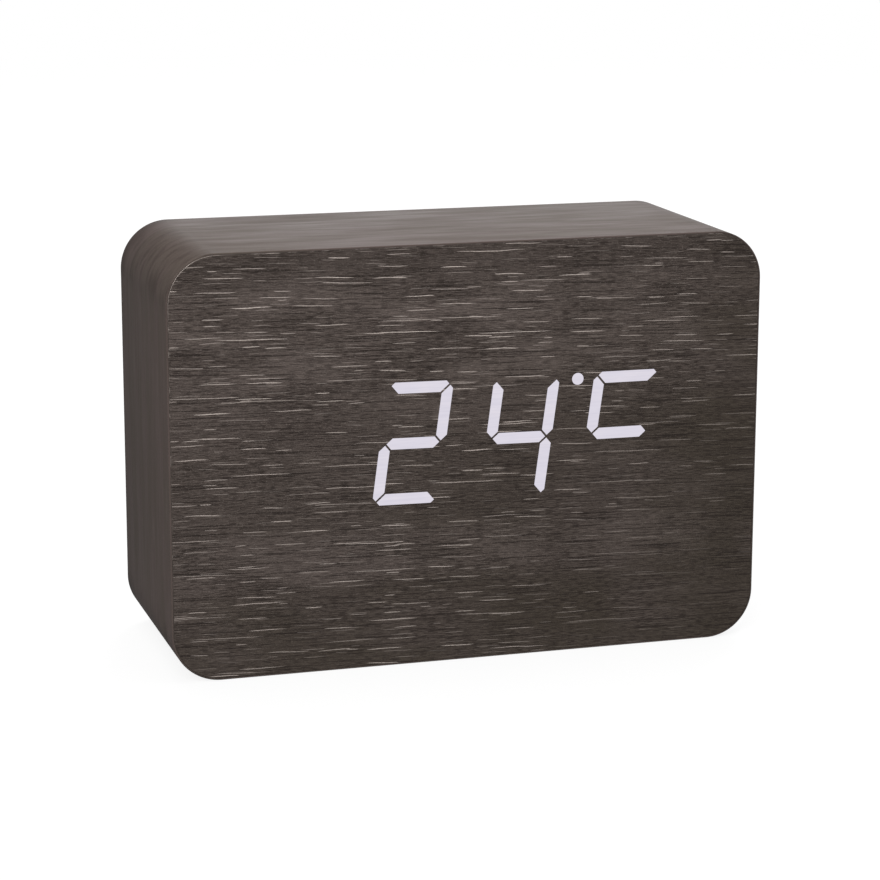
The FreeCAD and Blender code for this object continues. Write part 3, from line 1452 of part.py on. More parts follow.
def make_antenna_leads():
    """From the two ends of the winding to the edge of the receiver board."""
    coil_top = rod_z + rod_width / 2 + slip_gap + former_wall + coil_thick
    board_top = floor_z + pad_thick + circuit_thick
    over = coil_top + 4
    edge = receiver_x - receiver_long / 2 + 1.5
    wires = []
    for side, start in ((1, former_long / 2 - 3), (-1, former_long / 2 - 7)):
        y = rod_y + side
        route = [(start, y, coil_top), (start, y, over), (edge - 9, y + side * 2, over),
                 (edge, y + side * 2, coil_top - 2), (edge, y + side * 2, board_top)]
        wires.append(wire_along(route, antenna_lead_width))
    return solid_piece("antenna_leads", Part.makeCompound(wires))


def make_receiver_leads():
    """A flat lead of three cores from the receiver board up to the front of the main board."""
    board_top = floor_z + pad_thick + circuit_thick
    x, y = receiver_x - 6, rod_y + 5
    top = button_z - board_height / 2 + 3
    route = [(x, y, board_top), (x, y, board_top + 7), (x, y + 8, board_top + 16), (x, y + 8, top),
             (x, board_front_plane, top)]
    return solid_piece("receiver_leads", flat_lead(route, 3, lead_width))


def make_display_ribbon():
    """A flat strip from the light board to the main board, bent in its own plane."""
    led_plug = led_board_back_y + socket_tall
    main_plug = board_front_plane - socket_tall
    low, high = display_z - socket_drop, button_z
    middle_y = (led_plug + main_plug) / 2
    route = [
        (0, led_plug, low), (0, middle_y, low), (0, middle_y, high), (0, main_plug, high),
    ]
    half_wide, half_thick = float(ribbon_wide) / 2, float(ribbon_thick) / 2
    start = Vector(0, float(led_plug), float(low))
    corners = [
        start + Vector(x, 0, z)
        for x, z in ((-half_wide, -half_thick), (half_wide, -half_thick),
                     (half_wide, half_thick), (-half_wide, half_thick))
    ]
    return solid_piece("display_ribbon", swept(wire_path(route), Part.makePolygon(corners + corners[:1])))


def make_ribbon_sockets():
    tall, wide, high = float(socket_tall), float(ribbon_wide + 2 * socket_end), float(socket_high)
    sockets = []
    for y, z in ((led_board_back_y, display_z - socket_drop), (board_front_plane - socket_tall, button_z)):
        sockets.append(Part.makeBox(wide, tall, high, Vector(-wide / 2, float(y), float(z) - high / 2)))
    return solid_piece("ribbon_sockets", Part.makeCompound(sockets))


pieces = [
    make_case_frame(),
    make_wrap_film(),
    make_front_board(),
    make_corner_blocks(),
    make_front_film(),
    make_lit_segments(),
    make_digit_reflector(),
    make_segment_diffusers(),
    make_led_board(),
    make_led_chips(),
    make_display_driver(),
    make_display_screws(),
    make_display_ribbon(),
    make_ribbon_sockets(),
    make_rear_panel(),
    make_battery_door(),
    *make_cells(),
    make_contact_springs(),
    make_contact_plates(),
    make_rear_screws(),
    *[make_button(name, x) for name, x in zip(button_names, button_places)],
    *[make_plunger(name, x) for name, x in zip(button_names, button_places)],
    make_tact_switches(),
    make_main_board(),
    make_board_screws(),
    make_controller_chip(),
    make_clock_crystal(),
    make_capacitors(),
    make_buzzer(),
    make_sound_sensor(),
    make_power_jack(),
    make_jack_pin(),
    make_ferrite_rod(),
    make_antenna_former(),
    make_antenna_coil(),
    make_antenna_holders(),
    *make_receiver(),
    make_temperature_sensor(),
    make_battery_leads(),
    make_antenna_leads(),
    make_receiver_leads(),
]

document.recompute()
for thing in document.Objects:
    if "Invalid" in thing.State or "Error" in thing.State:
        raise ValueError("%s is %s" % (thing.Label, thing.State))
os.makedirs("parts", exist_ok=True)
for piece in pieces:
    shape = piece.Shape
    if shape.isNull() or not shape.isValid() or min(each.Volume for each in shape.Solids) <= 0:
        raise ValueError("%s is not a valid solid" % piece.Label)
    shape.exportStep("parts/%s.step" % piece.Label)
    print("%-20s %2d solids %10.1f mm3" % (piece.Label, len(shape.Solids), shape.Volume))
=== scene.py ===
import math

import bmesh
import bpy
from mathutils import Matrix, Vector


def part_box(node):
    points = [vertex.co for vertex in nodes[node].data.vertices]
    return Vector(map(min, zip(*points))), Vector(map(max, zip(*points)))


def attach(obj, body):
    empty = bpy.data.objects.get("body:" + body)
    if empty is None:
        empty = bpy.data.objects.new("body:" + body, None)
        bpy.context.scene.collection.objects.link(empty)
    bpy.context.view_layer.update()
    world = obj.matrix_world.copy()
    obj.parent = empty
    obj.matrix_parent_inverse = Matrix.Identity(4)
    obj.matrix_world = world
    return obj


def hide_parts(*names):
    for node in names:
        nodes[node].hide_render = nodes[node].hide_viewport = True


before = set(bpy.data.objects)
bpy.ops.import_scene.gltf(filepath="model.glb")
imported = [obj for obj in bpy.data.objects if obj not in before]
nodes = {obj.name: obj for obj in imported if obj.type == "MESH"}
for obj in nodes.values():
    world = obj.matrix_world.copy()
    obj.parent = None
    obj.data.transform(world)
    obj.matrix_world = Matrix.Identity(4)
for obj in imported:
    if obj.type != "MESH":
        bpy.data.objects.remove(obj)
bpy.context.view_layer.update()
mm = 0.001  # sizes below are in millimetres, the scene is in metres
print("frame loaded:", len(nodes), "CAD nodes")


def rgb(red, green, blue):  # a colour as it looks on screen, made linear for a shader
    parts = []
    for part in (red / 255, green / 255, blue / 255):
        parts.append(part / 12.92 if part <= 0.04045 else ((part + 0.055) / 1.055) ** 2.4)
    return (*parts, 1.0)


def shaded(tint, factor):
    return (*(min(1.0, part * factor) for part in rgb(*tint)[:3]), 1.0)


def feed(socket, value):  # links another node's output, or sets the socket's own value
    if isinstance(value, bpy.types.NodeSocket):
        socket.id_data.links.new(value, socket)
    else:
        socket.default_value = value


def addNode(kind, inputs=None, tree=None, **settings):
    inputs = inputs or {}
    if tree is None:  # the node joins the outputs that feed it
        tree = next(value.id_data for value in inputs.values() if isinstance(value, bpy.types.NodeSocket))
    made = tree.nodes.new(kind)
    for name, value in settings.items():
        setattr(made, name, value)
    for name, value in inputs.items():
        feed(made.inputs[name], value)
    return made.outputs


def calculate(operation, *values, clamp=False):
    return addNode("ShaderNodeMath", dict(enumerate(values)), operation=operation, use_clamp=clamp)[0]


def times(first, *others):
    for other in others:
        first = calculate("MULTIPLY", first, other)
    return first


def timesPlus(value, factor, rest):
    return calculate("MULTIPLY_ADD", value, factor, rest)


def plus(first, second, clamp=False):
    return calculate("ADD", first, second, clamp=clamp)


def minus(first, second, clamp=False):
    return calculate("SUBTRACT", first, second, clamp=clamp)


def over(first, second):
    return calculate("DIVIDE", first, second)


def most(first, second):
    return calculate("MAXIMUM", first, second)


def below(value, limit):  # one where the value is below the limit, otherwise zero
    return calculate("LESS_THAN", value, limit)


def above(value, limit):
    return calculate("GREATER_THAN", value, limit)


def gap(value, centre=0.0):  # how far a value is from another
    return calculate("ABSOLUTE", minus(value, centre))


def vectorMath(operation, first, second):
    return addNode("ShaderNodeVectorMath", {0: first, 1: second}, operation=operation)[0]


def split(vector):
    return addNode("ShaderNodeSeparateXYZ", {0: vector})


def join(x, y, z=0.0):
    return addNode("ShaderNodeCombineXYZ", {0: x, 1: y, 2: z})[0]


def inMillimetres(vector):
    return addNode("ShaderNodeVectorMath", {0: vector, "Scale": 1000.0}, operation="SCALE")[0]


def mix(amount, first, second):
    return addNode("ShaderNodeMix", {0: amount, 6: first, 7: second}, data_type="RGBA")[2]


def layered(colour, look, *layers):  # paints each mask's colour over what lies below it
    for mask, tint in layers:
        colour = mix(mask, colour, look[tint])
    return colour


def ease(value, low, high, start=0.0, end=1.0):
    inputs = {0: value, 1: low, 2: high, 3: start, 4: end}
    return addNode("ShaderNodeMapRange", inputs, interpolation_type="SMOOTHSTEP")[0]


def noise(place, size, detail=2.0, rough=0.5):
    inputs = {"Vector": vectorMath("DIVIDE", place, size), "Scale": 1.0, "Detail": detail, "Roughness": rough}
    return addNode("ShaderNodeTexNoise", inputs)[0]


def cellsIn(place, scale=1.0, dimensions="2D"):
    return addNode("ShaderNodeTexVoronoi", {"Vector": place, "Scale": scale}, voronoi_dimensions=dimensions)


def bump(height, depth, strength):
    return addNode("ShaderNodeBump", {"Height": height, "Distance": depth * mm, "Strength": strength})[0]


def effect(group, **inputs):  # places a shader group
    return addNode("ShaderNodeGroup", inputs, node_tree=group)


def newGroup(name, **values):  # a shader group's tree, then its inputs: a place and the named values
    tree = bpy.data.node_groups.new(name, "ShaderNodeTree")
    tree.interface.new_socket("Place", in_out="INPUT", socket_type="NodeSocketVector")
    for label, start in values.items():
        tree.interface.new_socket(label, in_out="INPUT", socket_type="NodeSocketFloat").default_value = start
    return tree, *addNode("NodeGroupInput", tree=tree)[:-1]


def endGroup(tree, **results):
    for label in results:
        tree.interface.new_socket(label, in_out="OUTPUT", socket_type="NodeSocketFloat")
    out = tree.nodes.new("NodeGroupOutput").inputs
    for label, result in results.items():
        feed(out[label], result)
    return tree


def makeLimedPores():
    # light filler left in long pores: dashes along the first axis of Place, one to a cell at most
    tree, place, cellLong, cellWide, share, shortest, longest, thickness, tilt, soft, shift = newGroup(
        "limedPores", CellLong=16.0, CellWide=4.0, Share=0.7, Shortest=2.0, Longest=8.0, Thickness=0.3,
        Tilt=0.04, Soft=0.12, Shift=0.0)
    cell = join(cellLong, cellWide, 1.0)
    where = vectorMath("ADD", vectorMath("DIVIDE", place, cell), join(shift, shift))
    cells = cellsIn(where)
    away = split(vectorMath("MULTIPLY", vectorMath("SUBTRACT", where, cells["Position"]), cell))
    chance = split(cells["Color"])
    halfLong = times(timesPlus(chance[1], minus(longest, shortest), shortest), 0.5)
    taper = minus(1.0, calculate("POWER", gap(over(away[0], halfLong)), 4.0), clamp=True)
    slant = times(minus(chance[2], 0.5), tilt)
    wander = times(minus(noise(place, (10.0, 3.0, 1.0), 1.0), 0.5), 0.7)
    across = minus(away[1], timesPlus(slant, away[0], wander))
    swell = timesPlus(noise(place, (0.7, 0.5, 1.0), 2.0, 0.6), 1.1, 0.2)
    half = times(thickness, 0.5, swell, taper)
    edge = over(minus(half, gap(across)), soft)
    line = times(plus(edge, 0.5, clamp=True), above(taper, 0.0))
    strength = timesPlus(calculate("FRACT", times(chance[0], 17.0)), 0.5, 0.5)
    return endGroup(tree, Mask=times(line, below(chance[0], share), strength))


def makeWoodGrain():
    # printed grain: tone is the soft light and dark of the wood, pores are its short dark lines
    tree, place, long, wide, poreLong, poreWide, poreShare, waves = newGroup(
        "woodGrain", Long=14.0, Wide=0.5, PoreLong=4.0, PoreWide=0.2, PoreShare=0.4, Waves=0.5)
    bend = times(minus(noise(place, (34.0, 11.0, 20.0), 1.0), 0.5), waves)
    place = vectorMath("ADD", place, join(0.0, bend))
    fine = noise(place, join(long, wide, 5.0), 3.0, 0.6)
    broad = noise(place, join(times(long, 2.4), times(wide, 4.5), 9.0))
    tone = timesPlus(broad, 0.45, times(fine, 0.55))
    pores = noise(place, join(poreLong, poreWide, 3.0), 1.0, 0.4)
    high = minus(0.72, times(poreShare, 0.2))
    return endGroup(tree, Tone=ease(tone, 0.3, 0.7), Pores=ease(pores, minus(high, 0.09), high))


def makeMouldedTexture():
    # spark-eroded grain of a moulding: height for the bump, tone for slight unevenness of the plastic
    tree, place, grain = newGroup("mouldedTexture", Grain=0.3)
    size = join(grain, grain, grain)
    fine = noise(place, size, 2.0, 0.6)
    pits = cellsIn(vectorMath("DIVIDE", place, size), 0.8, "3D")[0]
    tone = timesPlus(fine, 0.35, times(noise(place, (9.0, 9.0, 9.0), 3.0, 0.6), 0.65))
    return endGroup(tree, Height=timesPlus(pits, 0.5, fine), Tone=ease(tone, 0.3, 0.7))


def makeHandling():
    # faint smears and specks that change only how rough a surface is
    tree, place, rough, amount = newGroup("handling", Rough=0.5, Amount=0.08)
    smears = noise(place, (16.0, 11.0, 13.0), 4.0, 0.65)
    specks = noise(place, (1.1, 1.1, 1.1), 3.0, 0.7)
    both = timesPlus(specks, 0.3, times(smears, 0.7))
    change = times(minus(both, 0.5), times(amount, 3.0))
    return endGroup(tree, Rough=plus(rough, change, clamp=True))


def makeDrawnMetal():
    # fine lines left by rolling or drawing, along the first axis of Place
    tree, place, long, fine = newGroup("drawnMetal", Long=6.0, Fine=0.08)
    lines = noise(place, join(long, fine, fine), 3.0, 0.6)
    stains = noise(place, (2.5, 2.5, 2.5), 4.0, 0.6)
    return endGroup(tree, Lines=ease(lines, 0.3, 0.7), Stains=ease(stains, 0.35, 0.7))


def makeBoardTracks():
    # copper tracks under the lacquer: rows along the first axis of Place, whose runs begin and end by chance
    tree, place, pitch, share, run, empty, shift = newGroup(
        "boardTracks", Pitch=0.9, Share=0.26, Run=6.5, Empty=0.5, Shift=0.0)
    along, across = split(place)[:2]
    row = over(across, pitch)
    number = calculate("FLOOR", row)
    line = ease(gap(minus(row, number), 0.5), share, minus(share, 0.06))
    step = calculate("FLOOR", timesPlus(number, 0.37, over(along, run)))
    cell = join(number, step, shift)
    chance = addNode("ShaderNodeTexWhiteNoise", {"Vector": cell}, noise_dimensions="3D")["Value"]
    return endGroup(tree, Mask=times(line, above(chance, empty)))


limedPores = makeLimedPores()
woodGrain = makeWoodGrain()
mouldedTexture = makeMouldedTexture()
handling = makeHandling()
drawnMetal = makeDrawnMetal()
boardTracks = makeBoardTracks()
print("shader groups made")


def newMaterial(name, constants=None):  # a material, and the point on the object in millimetres
    material = bpy.data.materials.new(name)
    material.use_nodes = True
    for label, value in (constants or {}).items():
        material.node_tree.nodes["Principled BSDF"].inputs[label].default_value = value
    return material, inMillimetres(addNode("ShaderNodeTexCoord", tree=material.node_tree)["Object"])


def uvPlace(material, name):  # the point on the piece's own map, in millimetres
    return inMillimetres(addNode("ShaderNodeUVMap", tree=material.node_tree, uv_map=name)[0])


def handled(place, rough, amount):
    return effect(handling, Place=place, Rough=rough, Amount=amount)["Rough"]


def paint(material, colour, rough, others):
    sockets = material.node_tree.nodes["Principled BSDF"].inputs
    for label, value in {"Base Color": colour, "Roughness": rough, **others}.items():
        feed(sockets[label], value)
    return material


frontFinish = {
    "deep": rgb(42, 34, 30), "dark": rgb(77, 67, 62), "light": rgb(90, 80, 75), "patch": rgb(102, 91, 86),
    "olive": rgb(64, 56, 46), "speck": rgb(128, 119, 113), "filler": rgb(205, 192, 184), "roughness": 0.5,
    "fillerAtLeft": (0.68, 1.0), "fillerAtRight": (0.1, 0.66),  # at the bottom and at the top
    "grainDrop": 0.026,  # the grain falls this much to the right, as on a sheet laid slightly askew
    "upperBand": (56.0, 70.0, 91.0, 98.0),  # heights between which this paler band comes and goes
    "lowerBand": (27.0, 3.0, 9.0),  # its middle, then where it begins to fade and ends, from there
    "rightEdge": (45.0, 68.0), "topEdge": (89.0, 92.5),  # where painted shade turns it browner and darker
    "dashes": (  # strength, length and width of a cell, share, shortest, longest, thickness, shift
        (1.0, 34.0, 5.0, 0.6, 9.0, 20.0, 0.2, 3.1),
        (1.0, 15.0, 3.4, 0.75, 4.0, 10.0, 0.21, 7.7),
        (0.9, 9.0, 3.4, 0.25, 2.2, 4.5, 0.2, 1.3),
        (0.4, 11.0, 1.5, 0.6, 2.0, 8.0, 0.17, 5.9)),
}


def makeFrontDashes(place, x, z):
    dashes = None
    names = ("CellLong", "CellWide", "Share", "Shortest", "Longest", "Thickness", "Shift")
    for strength, *sizes in frontFinish["dashes"]:
        pores = effect(limedPores, Place=place, Tilt=0.02, Soft=0.06, **dict(zip(names, sizes)))
        mask = times(pores["Mask"], strength)
        dashes = mask if dashes is None else most(dashes, mask)
    atLeft, atRight = (ease(z, 12.0, 88.0, *frontFinish[side]) for side in ("fillerAtLeft", "fillerAtRight"))
    return times(dashes, ease(x, -10.0, 60.0, atLeft, atRight))


def makeFrontWood():
    look = frontFinish
    material, plain = newMaterial("woodFilmFront", {"IOR": 1.45})
    x, y, z = split(plain)
    place = join(timesPlus(z, -look["grainDrop"], x), timesPlus(x, look["grainDrop"], z))
    grain = effect(woodGrain, Place=place, Long=6.0, Wide=0.28, PoreLong=2.2, PoreWide=0.17, PoreShare=0.74,
                   Waves=1.6)
    # the face is paler in two broad bands; towards its upper left it is painted paler, and at its right edge
    # browner and darker, as painted light and shade from a lamp at the upper left
    low, lowEnd, highEnd, high = look["upperBand"]
    upperBand = times(ease(z, low, lowEnd), ease(z, high, highEnd))
    centre, inner, outer = look["lowerBand"]
    lowerBand = ease(gap(z, centre), outer, inner)
    # painted light and shade: paler towards the upper left, darker towards the lower right and the right edge
    paintedLightSlope = timesPlus(x, -0.0035, timesPlus(z, 0.0085, -0.16))
    paintedLightSlope = plus(paintedLightSlope, ease(x, *look["rightEdge"], 0.0, -0.25))
    palerBandAndLight = ease(timesPlus(lowerBand, 0.28, paintedLightSlope), -0.35, 0.85)
    palenessAndLight = timesPlus(upperBand, 0.7, timesPlus(lowerBand, 0.45, 0.25))
    palenessAndLight = times(palenessAndLight, ease(palerBandAndLight, 0.0, 0.8, 0.5, 1.0))
    patches = ease(noise(place, (30.0, 9.0, 1.0), 3.0, 0.55), 0.34, 0.66)
    elsewhere = vectorMath("ADD", place, (51.0, 13.0, 0.0))
    olive = ease(noise(elsewhere, (34.0, 15.0, 1.0)), 0.32, 0.62, 0.35, 1.0)
    streaks = ease(noise(place, (26.0, 0.9, 1.0), 3.0, 0.55), 0.56, 0.7, 0.0, 0.35)
    lines = ease(noise(place, (19.0, 0.36, 1.0)), 0.56, 0.64, 0.0, 0.85)
    grit = noise(place, (0.42, 0.3, 1.0), 2.0, 0.7)
    dashes = makeFrontDashes(place, x, z)
    wood = layered(
        mix(grain["Tone"], look["dark"], look["light"]), look,
        # pale patches and specks follow the painted light at the upper left, and olive follows the painted
        # shade at the lower right
        (times(patches, palenessAndLight), "patch"),
        (times(olive, ease(palerBandAndLight, 0.0, 0.9, 0.8, 0.08)), "olive"),
        # painted shade along the top edge; the same dark colour also draws the real streaks, lines, grit and
        # pores
        (ease(z, *look["topEdge"], 0.0, 0.14), "deep"),
        (streaks, "deep"),
        (lines, "deep"),
        (times(ease(grit, 0.56, 0.66), ease(palerBandAndLight, 0.0, 0.8, 0.14, 0.44)), "speck"),
        (ease(grit, 0.42, 0.32, 0.0, 0.45), "deep"),
        (times(grain["Pores"], ease(patches, 0.0, 1.0, 0.75, 0.5)), "deep"),
        (dashes, "filler"))
    height = minus(minus(times(grain["Tone"], 0.4), grain["Pores"]), dashes)
    return paint(material, wood, handled(plain, look["roughness"], 0.05), {"Normal": bump(height, 0.03, 0.5)})


wrapFinish = {
    "dark": rgb(83, 71, 67), "light": rgb(88, 76, 72), "band": rgb(81, 72, 65), "filler": rgb(176, 166, 158),
    # the dark colour at the corner bends is partly mottling and partly painted shade
    "pore": rgb(42, 34, 30), "bent": rgb(56, 46, 42), "roughness": 0.44,
    "bendAcross": (56.0, 63.0), "bendUp": (34.0, 41.0),  # distances from the middle where the corners begin
}


def makeWrapWood():
    look = wrapFinish
    material, plain = newMaterial("woodFilmWrap", {"IOR": 1.5})
    place = uvPlace(material, "grainRun")
    grain = effect(woodGrain, Place=place, Long=17.0, Wide=1.3, PoreLong=5.0, PoreWide=0.3, Waves=3.0)
    bands = ease(noise(place, (46.0, 6.0, 1.0)), 0.4, 0.62)
    faint = effect(limedPores, Place=place, CellLong=40.0, CellWide=9.0, Share=0.5, Shortest=4.0,
                   Longest=14.0, Thickness=0.22, Tilt=0.02, Shift=2.2)["Mask"]
    # where the film bends round the corners it is mottled darker, partly printed mottling and partly painted
    # shade, and painted shade deepens towards its rear edge; the shine runs in long streaks, less so there
    x, y, z = split(plain)
    bent = times(ease(gap(x), *look["bendAcross"]), ease(gap(z, 50.0), *look["bendUp"]))
    mottleAndRearShade = ease(noise(place, (9.0, 2.6, 1.0), 3.0, 0.6), 0.42, 0.64, 0.0, 0.5)
    # painted shade towards the rear edge of the bends
    mottleAndRearShade = most(mottleAndRearShade, ease(y, 20.5, 25.0, 0.0, 0.55))
    wood = layered(
        mix(grain["Tone"], look["dark"], look["light"]), look, (times(bands, 0.7), "band"),
        (times(grain["Pores"], 0.1), "pore"), (times(mottleAndRearShade, bent), "bent"), (times(faint, 0.3), "filler"))
    uneven = timesPlus(grain["Tone"], -0.17, timesPlus(bands, 0.08, 0.05))
    uneven = times(uneven, ease(bent, 0.0, 1.0, 1.0, 0.35), ease(gap(x), 66.0, 71.0, 1.0, 0.5))
    rough = plus(handled(plain, look["roughness"], 0.06), uneven, clamp=True)
    return paint(material, wood, rough, {"Normal": bump(grain["Tone"], 0.03, 0.5)})


edgeFinish = {"pale": rgb(196, 184, 176), "worn": rgb(72, 64, 59), "core": rgb(66, 60, 56),
              "coreShade": rgb(48, 43, 40), "roughness": 0.6}


def paintCut(material, place, colour):
    texture = {"Normal": bump(noise(place, (0.5, 0.5, 0.5)), 0.02, 0.3)}
    return paint(material, colour, handled(place, edgeFinish["roughness"], 0.1), texture)


def makePaleCut():
    # the front film's bevelled cut, with a painted highlight at its upper left corner, and pale dots along
    # its left and top edges that are partly its bare core and partly painted highlight
    material, place = newMaterial("filmCutPale")
    x, y, z = split(place)
    # painted highlight where the lamp at the upper left catches the corner
    corner = times(ease(x, -54.0, -62.5), ease(z, 83.0, 90.5), 0.89)
    leftOrTop = times(most(ease(x, -40.0, -66.0), ease(z, 94.0, 99.0)), ease(z, 16.0, 40.0))
    dots = ease(noise(place, (1.6, 1.0, 1.0)), 0.5, 0.62, 0.05, 0.5)
    uneven = ease(noise(place, (3.0, 3.0, 3.0), 3.0, 0.6), 0.3, 0.7, 0.45, 1.0)
    highlightAndPaleCore = times(most(corner, times(leftOrTop, dots)), uneven)
    return paintCut(material, place, mix(highlightAndPaleCore, edgeFinish["worn"], edgeFinish["pale"]))


def makeFilmCore():  # the bare cut of the wrap film, at the back and in its seam
    material, place = newMaterial("filmCutCore")
    uneven = ease(noise(place, (6.0, 6.0, 4.0), 3.0, 0.6), 0.35, 0.65)
    return paintCut(material, place, mix(uneven, edgeFinish["coreShade"], edgeFinish["core"]))


litFinish = {"glow": rgb(222, 217, 227), "cool": rgb(218, 214, 226), "throughGrain": rgb(206, 202, 216),
             "strength": 1.0, "unlit": rgb(26, 24, 26), "unlitPale": rgb(34, 31, 34), "roughness": 0.5}


def makeLitFilm():
    look = litFinish
    material, place = newMaterial("litFilm", {"Emission Strength": look["strength"], "IOR": 1.45})
    soft = noise(place, (5.0, 5.0, 3.0))
    grain = ease(noise(place, (7.0, 1.0, 0.35), 2.0, 0.6), 0.35, 0.75, 0.0, 0.5)
    glow = mix(grain, mix(ease(soft, 0.3, 0.7), look["glow"], look["cool"]), look["throughGrain"])
    unlit = mix(soft, look["unlit"], look["unlitPale"])
    return paint(material, unlit, handled(place, look["roughness"], 0.05), {"Emission Color": glow})


def makeMoulded(name, tint, roughness, grain, depth, strength=0.5, contrast=0.14, coat=0.0):
    material, place = newMaterial(name, {"Coat Weight": coat})
    texture = effect(mouldedTexture, Place=place, Grain=grain)
    colour = mix(texture["Tone"], shaded(tint, 1 - contrast), shaded(tint, 1 + contrast))
    rough = handled(place, roughness, 0.08)
    return paint(material, colour, rough, {"Normal": bump(texture["Height"], depth, strength)})


def makeMetal(name, tint, roughness, along):
    material, place = newMaterial(name, {"Metallic": 1.0})
    x, y, z = split(place)
    drawn = effect(drawnMetal, Place=join(y, x, z) if along == "y" else join(x, y, z))
    dull = shaded(tint, 0.72)
    colour = mix(times(drawn["Stains"], 0.24), rgb(*tint), dull)
    colour = mix(times(drawn["Lines"], 0.25), colour, dull)
    rough = timesPlus(drawn["Lines"], 0.14, roughness - 0.05)
    return paint(material, colour, rough, {"Normal": bump(drawn["Lines"], 0.004, 0.4)})


boardFinish = {
    "mask": rgb(20, 76, 42), "maskOverTrack": rgb(34, 104, 58), "tin": rgb(196, 196, 190),
    "hole": rgb(18, 18, 16), "trackPitch": 0.9, "trackShare": 0.26, "runLong": 6.5, "viaPitch": 2.7,
}


def makeCircuitBoard():
    look = boardFinish
    material, place = newMaterial("circuitBoard", {"Coat Weight": 0.3, "Coat Roughness": 0.2})
    x, y, z = split(place)
    up = plus(z, y)  # boards stand up or lie flat
    pitch, share, run = look["trackPitch"], look["trackShare"], look["runLong"]
    level = effect(boardTracks, Place=join(x, up), Pitch=pitch, Share=share, Run=run)
    upright = effect(boardTracks, Place=join(up, x), Pitch=pitch * 1.5, Share=share * 0.7, Run=run * 0.7,
                     Empty=0.72, Shift=5.0)
    tracks = most(level["Mask"], upright["Mask"])
    cells = cellsIn(vectorMath("DIVIDE", join(x, up), (look["viaPitch"],) * 3))
    pads = times(ease(cells["Distance"], 0.14, 0.11), below(split(cells["Color"])[0], 0.5))
    holes = times(pads, ease(cells["Distance"], 0.07, 0.05))
    uneven = ease(noise(place, (8.0, 8.0, 8.0), 3.0), 0.3, 0.8, 0.0, 0.25)
    colour = layered(mix(tracks, look["mask"], look["maskOverTrack"]), look,
                     (uneven, "mask"), (pads, "tin"), (holes, "hole"))
    others = {"Metallic": minus(pads, holes), "Normal": bump(most(tracks, pads), 0.035, 0.7)}
    return paint(material, colour, timesPlus(pads, -0.1, 0.42), others)


fibreFinish = {"pale": rgb(178, 150, 116), "brown": rgb(163, 134, 101), "speck": rgb(112, 87, 62)}


def makeFibreBoard():
    look = fibreFinish
    material, place = newMaterial("fibreBoard", {"IOR": 1.4})
    mat = noise(place, (1.8, 0.7, 1.8), 4.0, 0.7)
    hairs = noise(vectorMath("ADD", place, join(times(mat, 3.0), 0.0)), (2.6, 0.16, 0.5), 3.0, 0.6)
    specks = ease(noise(place, (0.5, 0.5, 0.5), 2.0, 0.7), 0.62, 0.72)
    board = layered(mix(ease(mat, 0.3, 0.7), look["brown"], look["pale"]), look,
                    (ease(hairs, 0.35, 0.7, 0.0, 0.5), "pale"), (times(specks, 0.6), "speck"))
    return paint(material, board, timesPlus(mat, 0.15, 0.78), {"Normal": bump(plus(mat, hairs), 0.08, 0.6)})


def makeFoam():
    material, place = newMaterial("foam", {"IOR": 1.35})
    cells = cellsIn(place, 2.2, "3D")[0]
    colour = mix(cells, rgb(24, 24, 26), rgb(58, 58, 60))
    return paint(material, colour, timesPlus(cells, 0.1, 0.85), {"Normal": bump(cells, 0.2, 0.8)})


def makeFerrite():
    material, place = newMaterial("ferrite", {"IOR": 2.0})
    grit = noise(place, (0.25, 0.25, 0.25), 4.0, 0.7)
    colour = mix(ease(grit, 0.3, 0.75), rgb(26, 26, 27), rgb(52, 51, 52))
    return paint(material, colour, timesPlus(grit, 0.3, 0.35), {"Normal": bump(grit, 0.03, 0.6)})


def inCapitals(name):  # set_button becomes setButton, and buzzer, which has one word only, buzzerCase
    first, *others = name.split("_")
    return first + "".join(word.capitalize() for word in others or ["case"])


finishes = {
    "wood_film_front": makeFrontWood(), "wood_film_wrap": makeWrapWood(), "lit_film": makeLitFilm(),
    "fibre_board": makeFibreBoard(), "circuit_board": makeCircuitBoard(), "ferrite": makeFerrite(),
    "foam": makeFoam(),
    "zinc_steel": makeMetal("zincSteel", (200, 200, 196), 0.32, "y"),
    "nickel_steel": makeMetal("nickelSteel", (206, 203, 194), 0.25, "x"),
    "copper_winding": makeMetal("copperWinding", (196, 118, 66), 0.28, "x"),
}
mouldings = {  # colour, roughness, size of the grain, its depth, strength of the bump, contrast, coat
    "white_plastic": ((224, 224, 219), 0.5, 0.4, 0.015, 0.5, 0.04),
    "clear_resin": ((236, 236, 238), 0.3, 0.8, 0.01, 0.5, 0.04, 0.3),
    "light_chip": ((236, 222, 150), 0.35, 0.2, 0.01, 0.5, 0.14, 0.5),
    "chip_plastic": ((19, 19, 20), 0.6, 0.12, 0.02),
    "black_steel": ((20, 20, 21), 0.38, 0.15, 0.008, 0.5, 0.25, 0.25),
    "ribbon_plastic": ((219, 214, 199), 0.45, 0.6, 0.01),
    "panel_plastic": ((34, 33, 33), 0.48, 0.3, 0.05, 0.9),
    "button_plastic": ((50, 49, 48), 0.38, 0.5, 0.01, 0.4),
    "plunger_plastic": ((200, 192, 172), 0.4, 0.4, 0.01),
    "cell_wrap": ((42, 77, 52), 0.28, 1.2, 0.005),
    "can_sleeve": ((22, 24, 44), 0.25, 0.9, 0.006),
    "sensor_rubber": ((24, 24, 24), 0.75, 0.35, 0.03),
    "sensor_resin": ((28, 28, 30), 0.25, 0.8, 0.01),
    "lead_red": ((152, 26, 22), 0.38, 0.7, 0.01),
    "lead_grey": ((122, 122, 124), 0.4, 0.7, 0.01),
}
for slotName, values in mouldings.items():
    finishes[slotName] = makeMoulded(inCapitals(slotName), *values)
filmCut = makePaleCut()
filmCore = makeFilmCore()
slotOf = {}
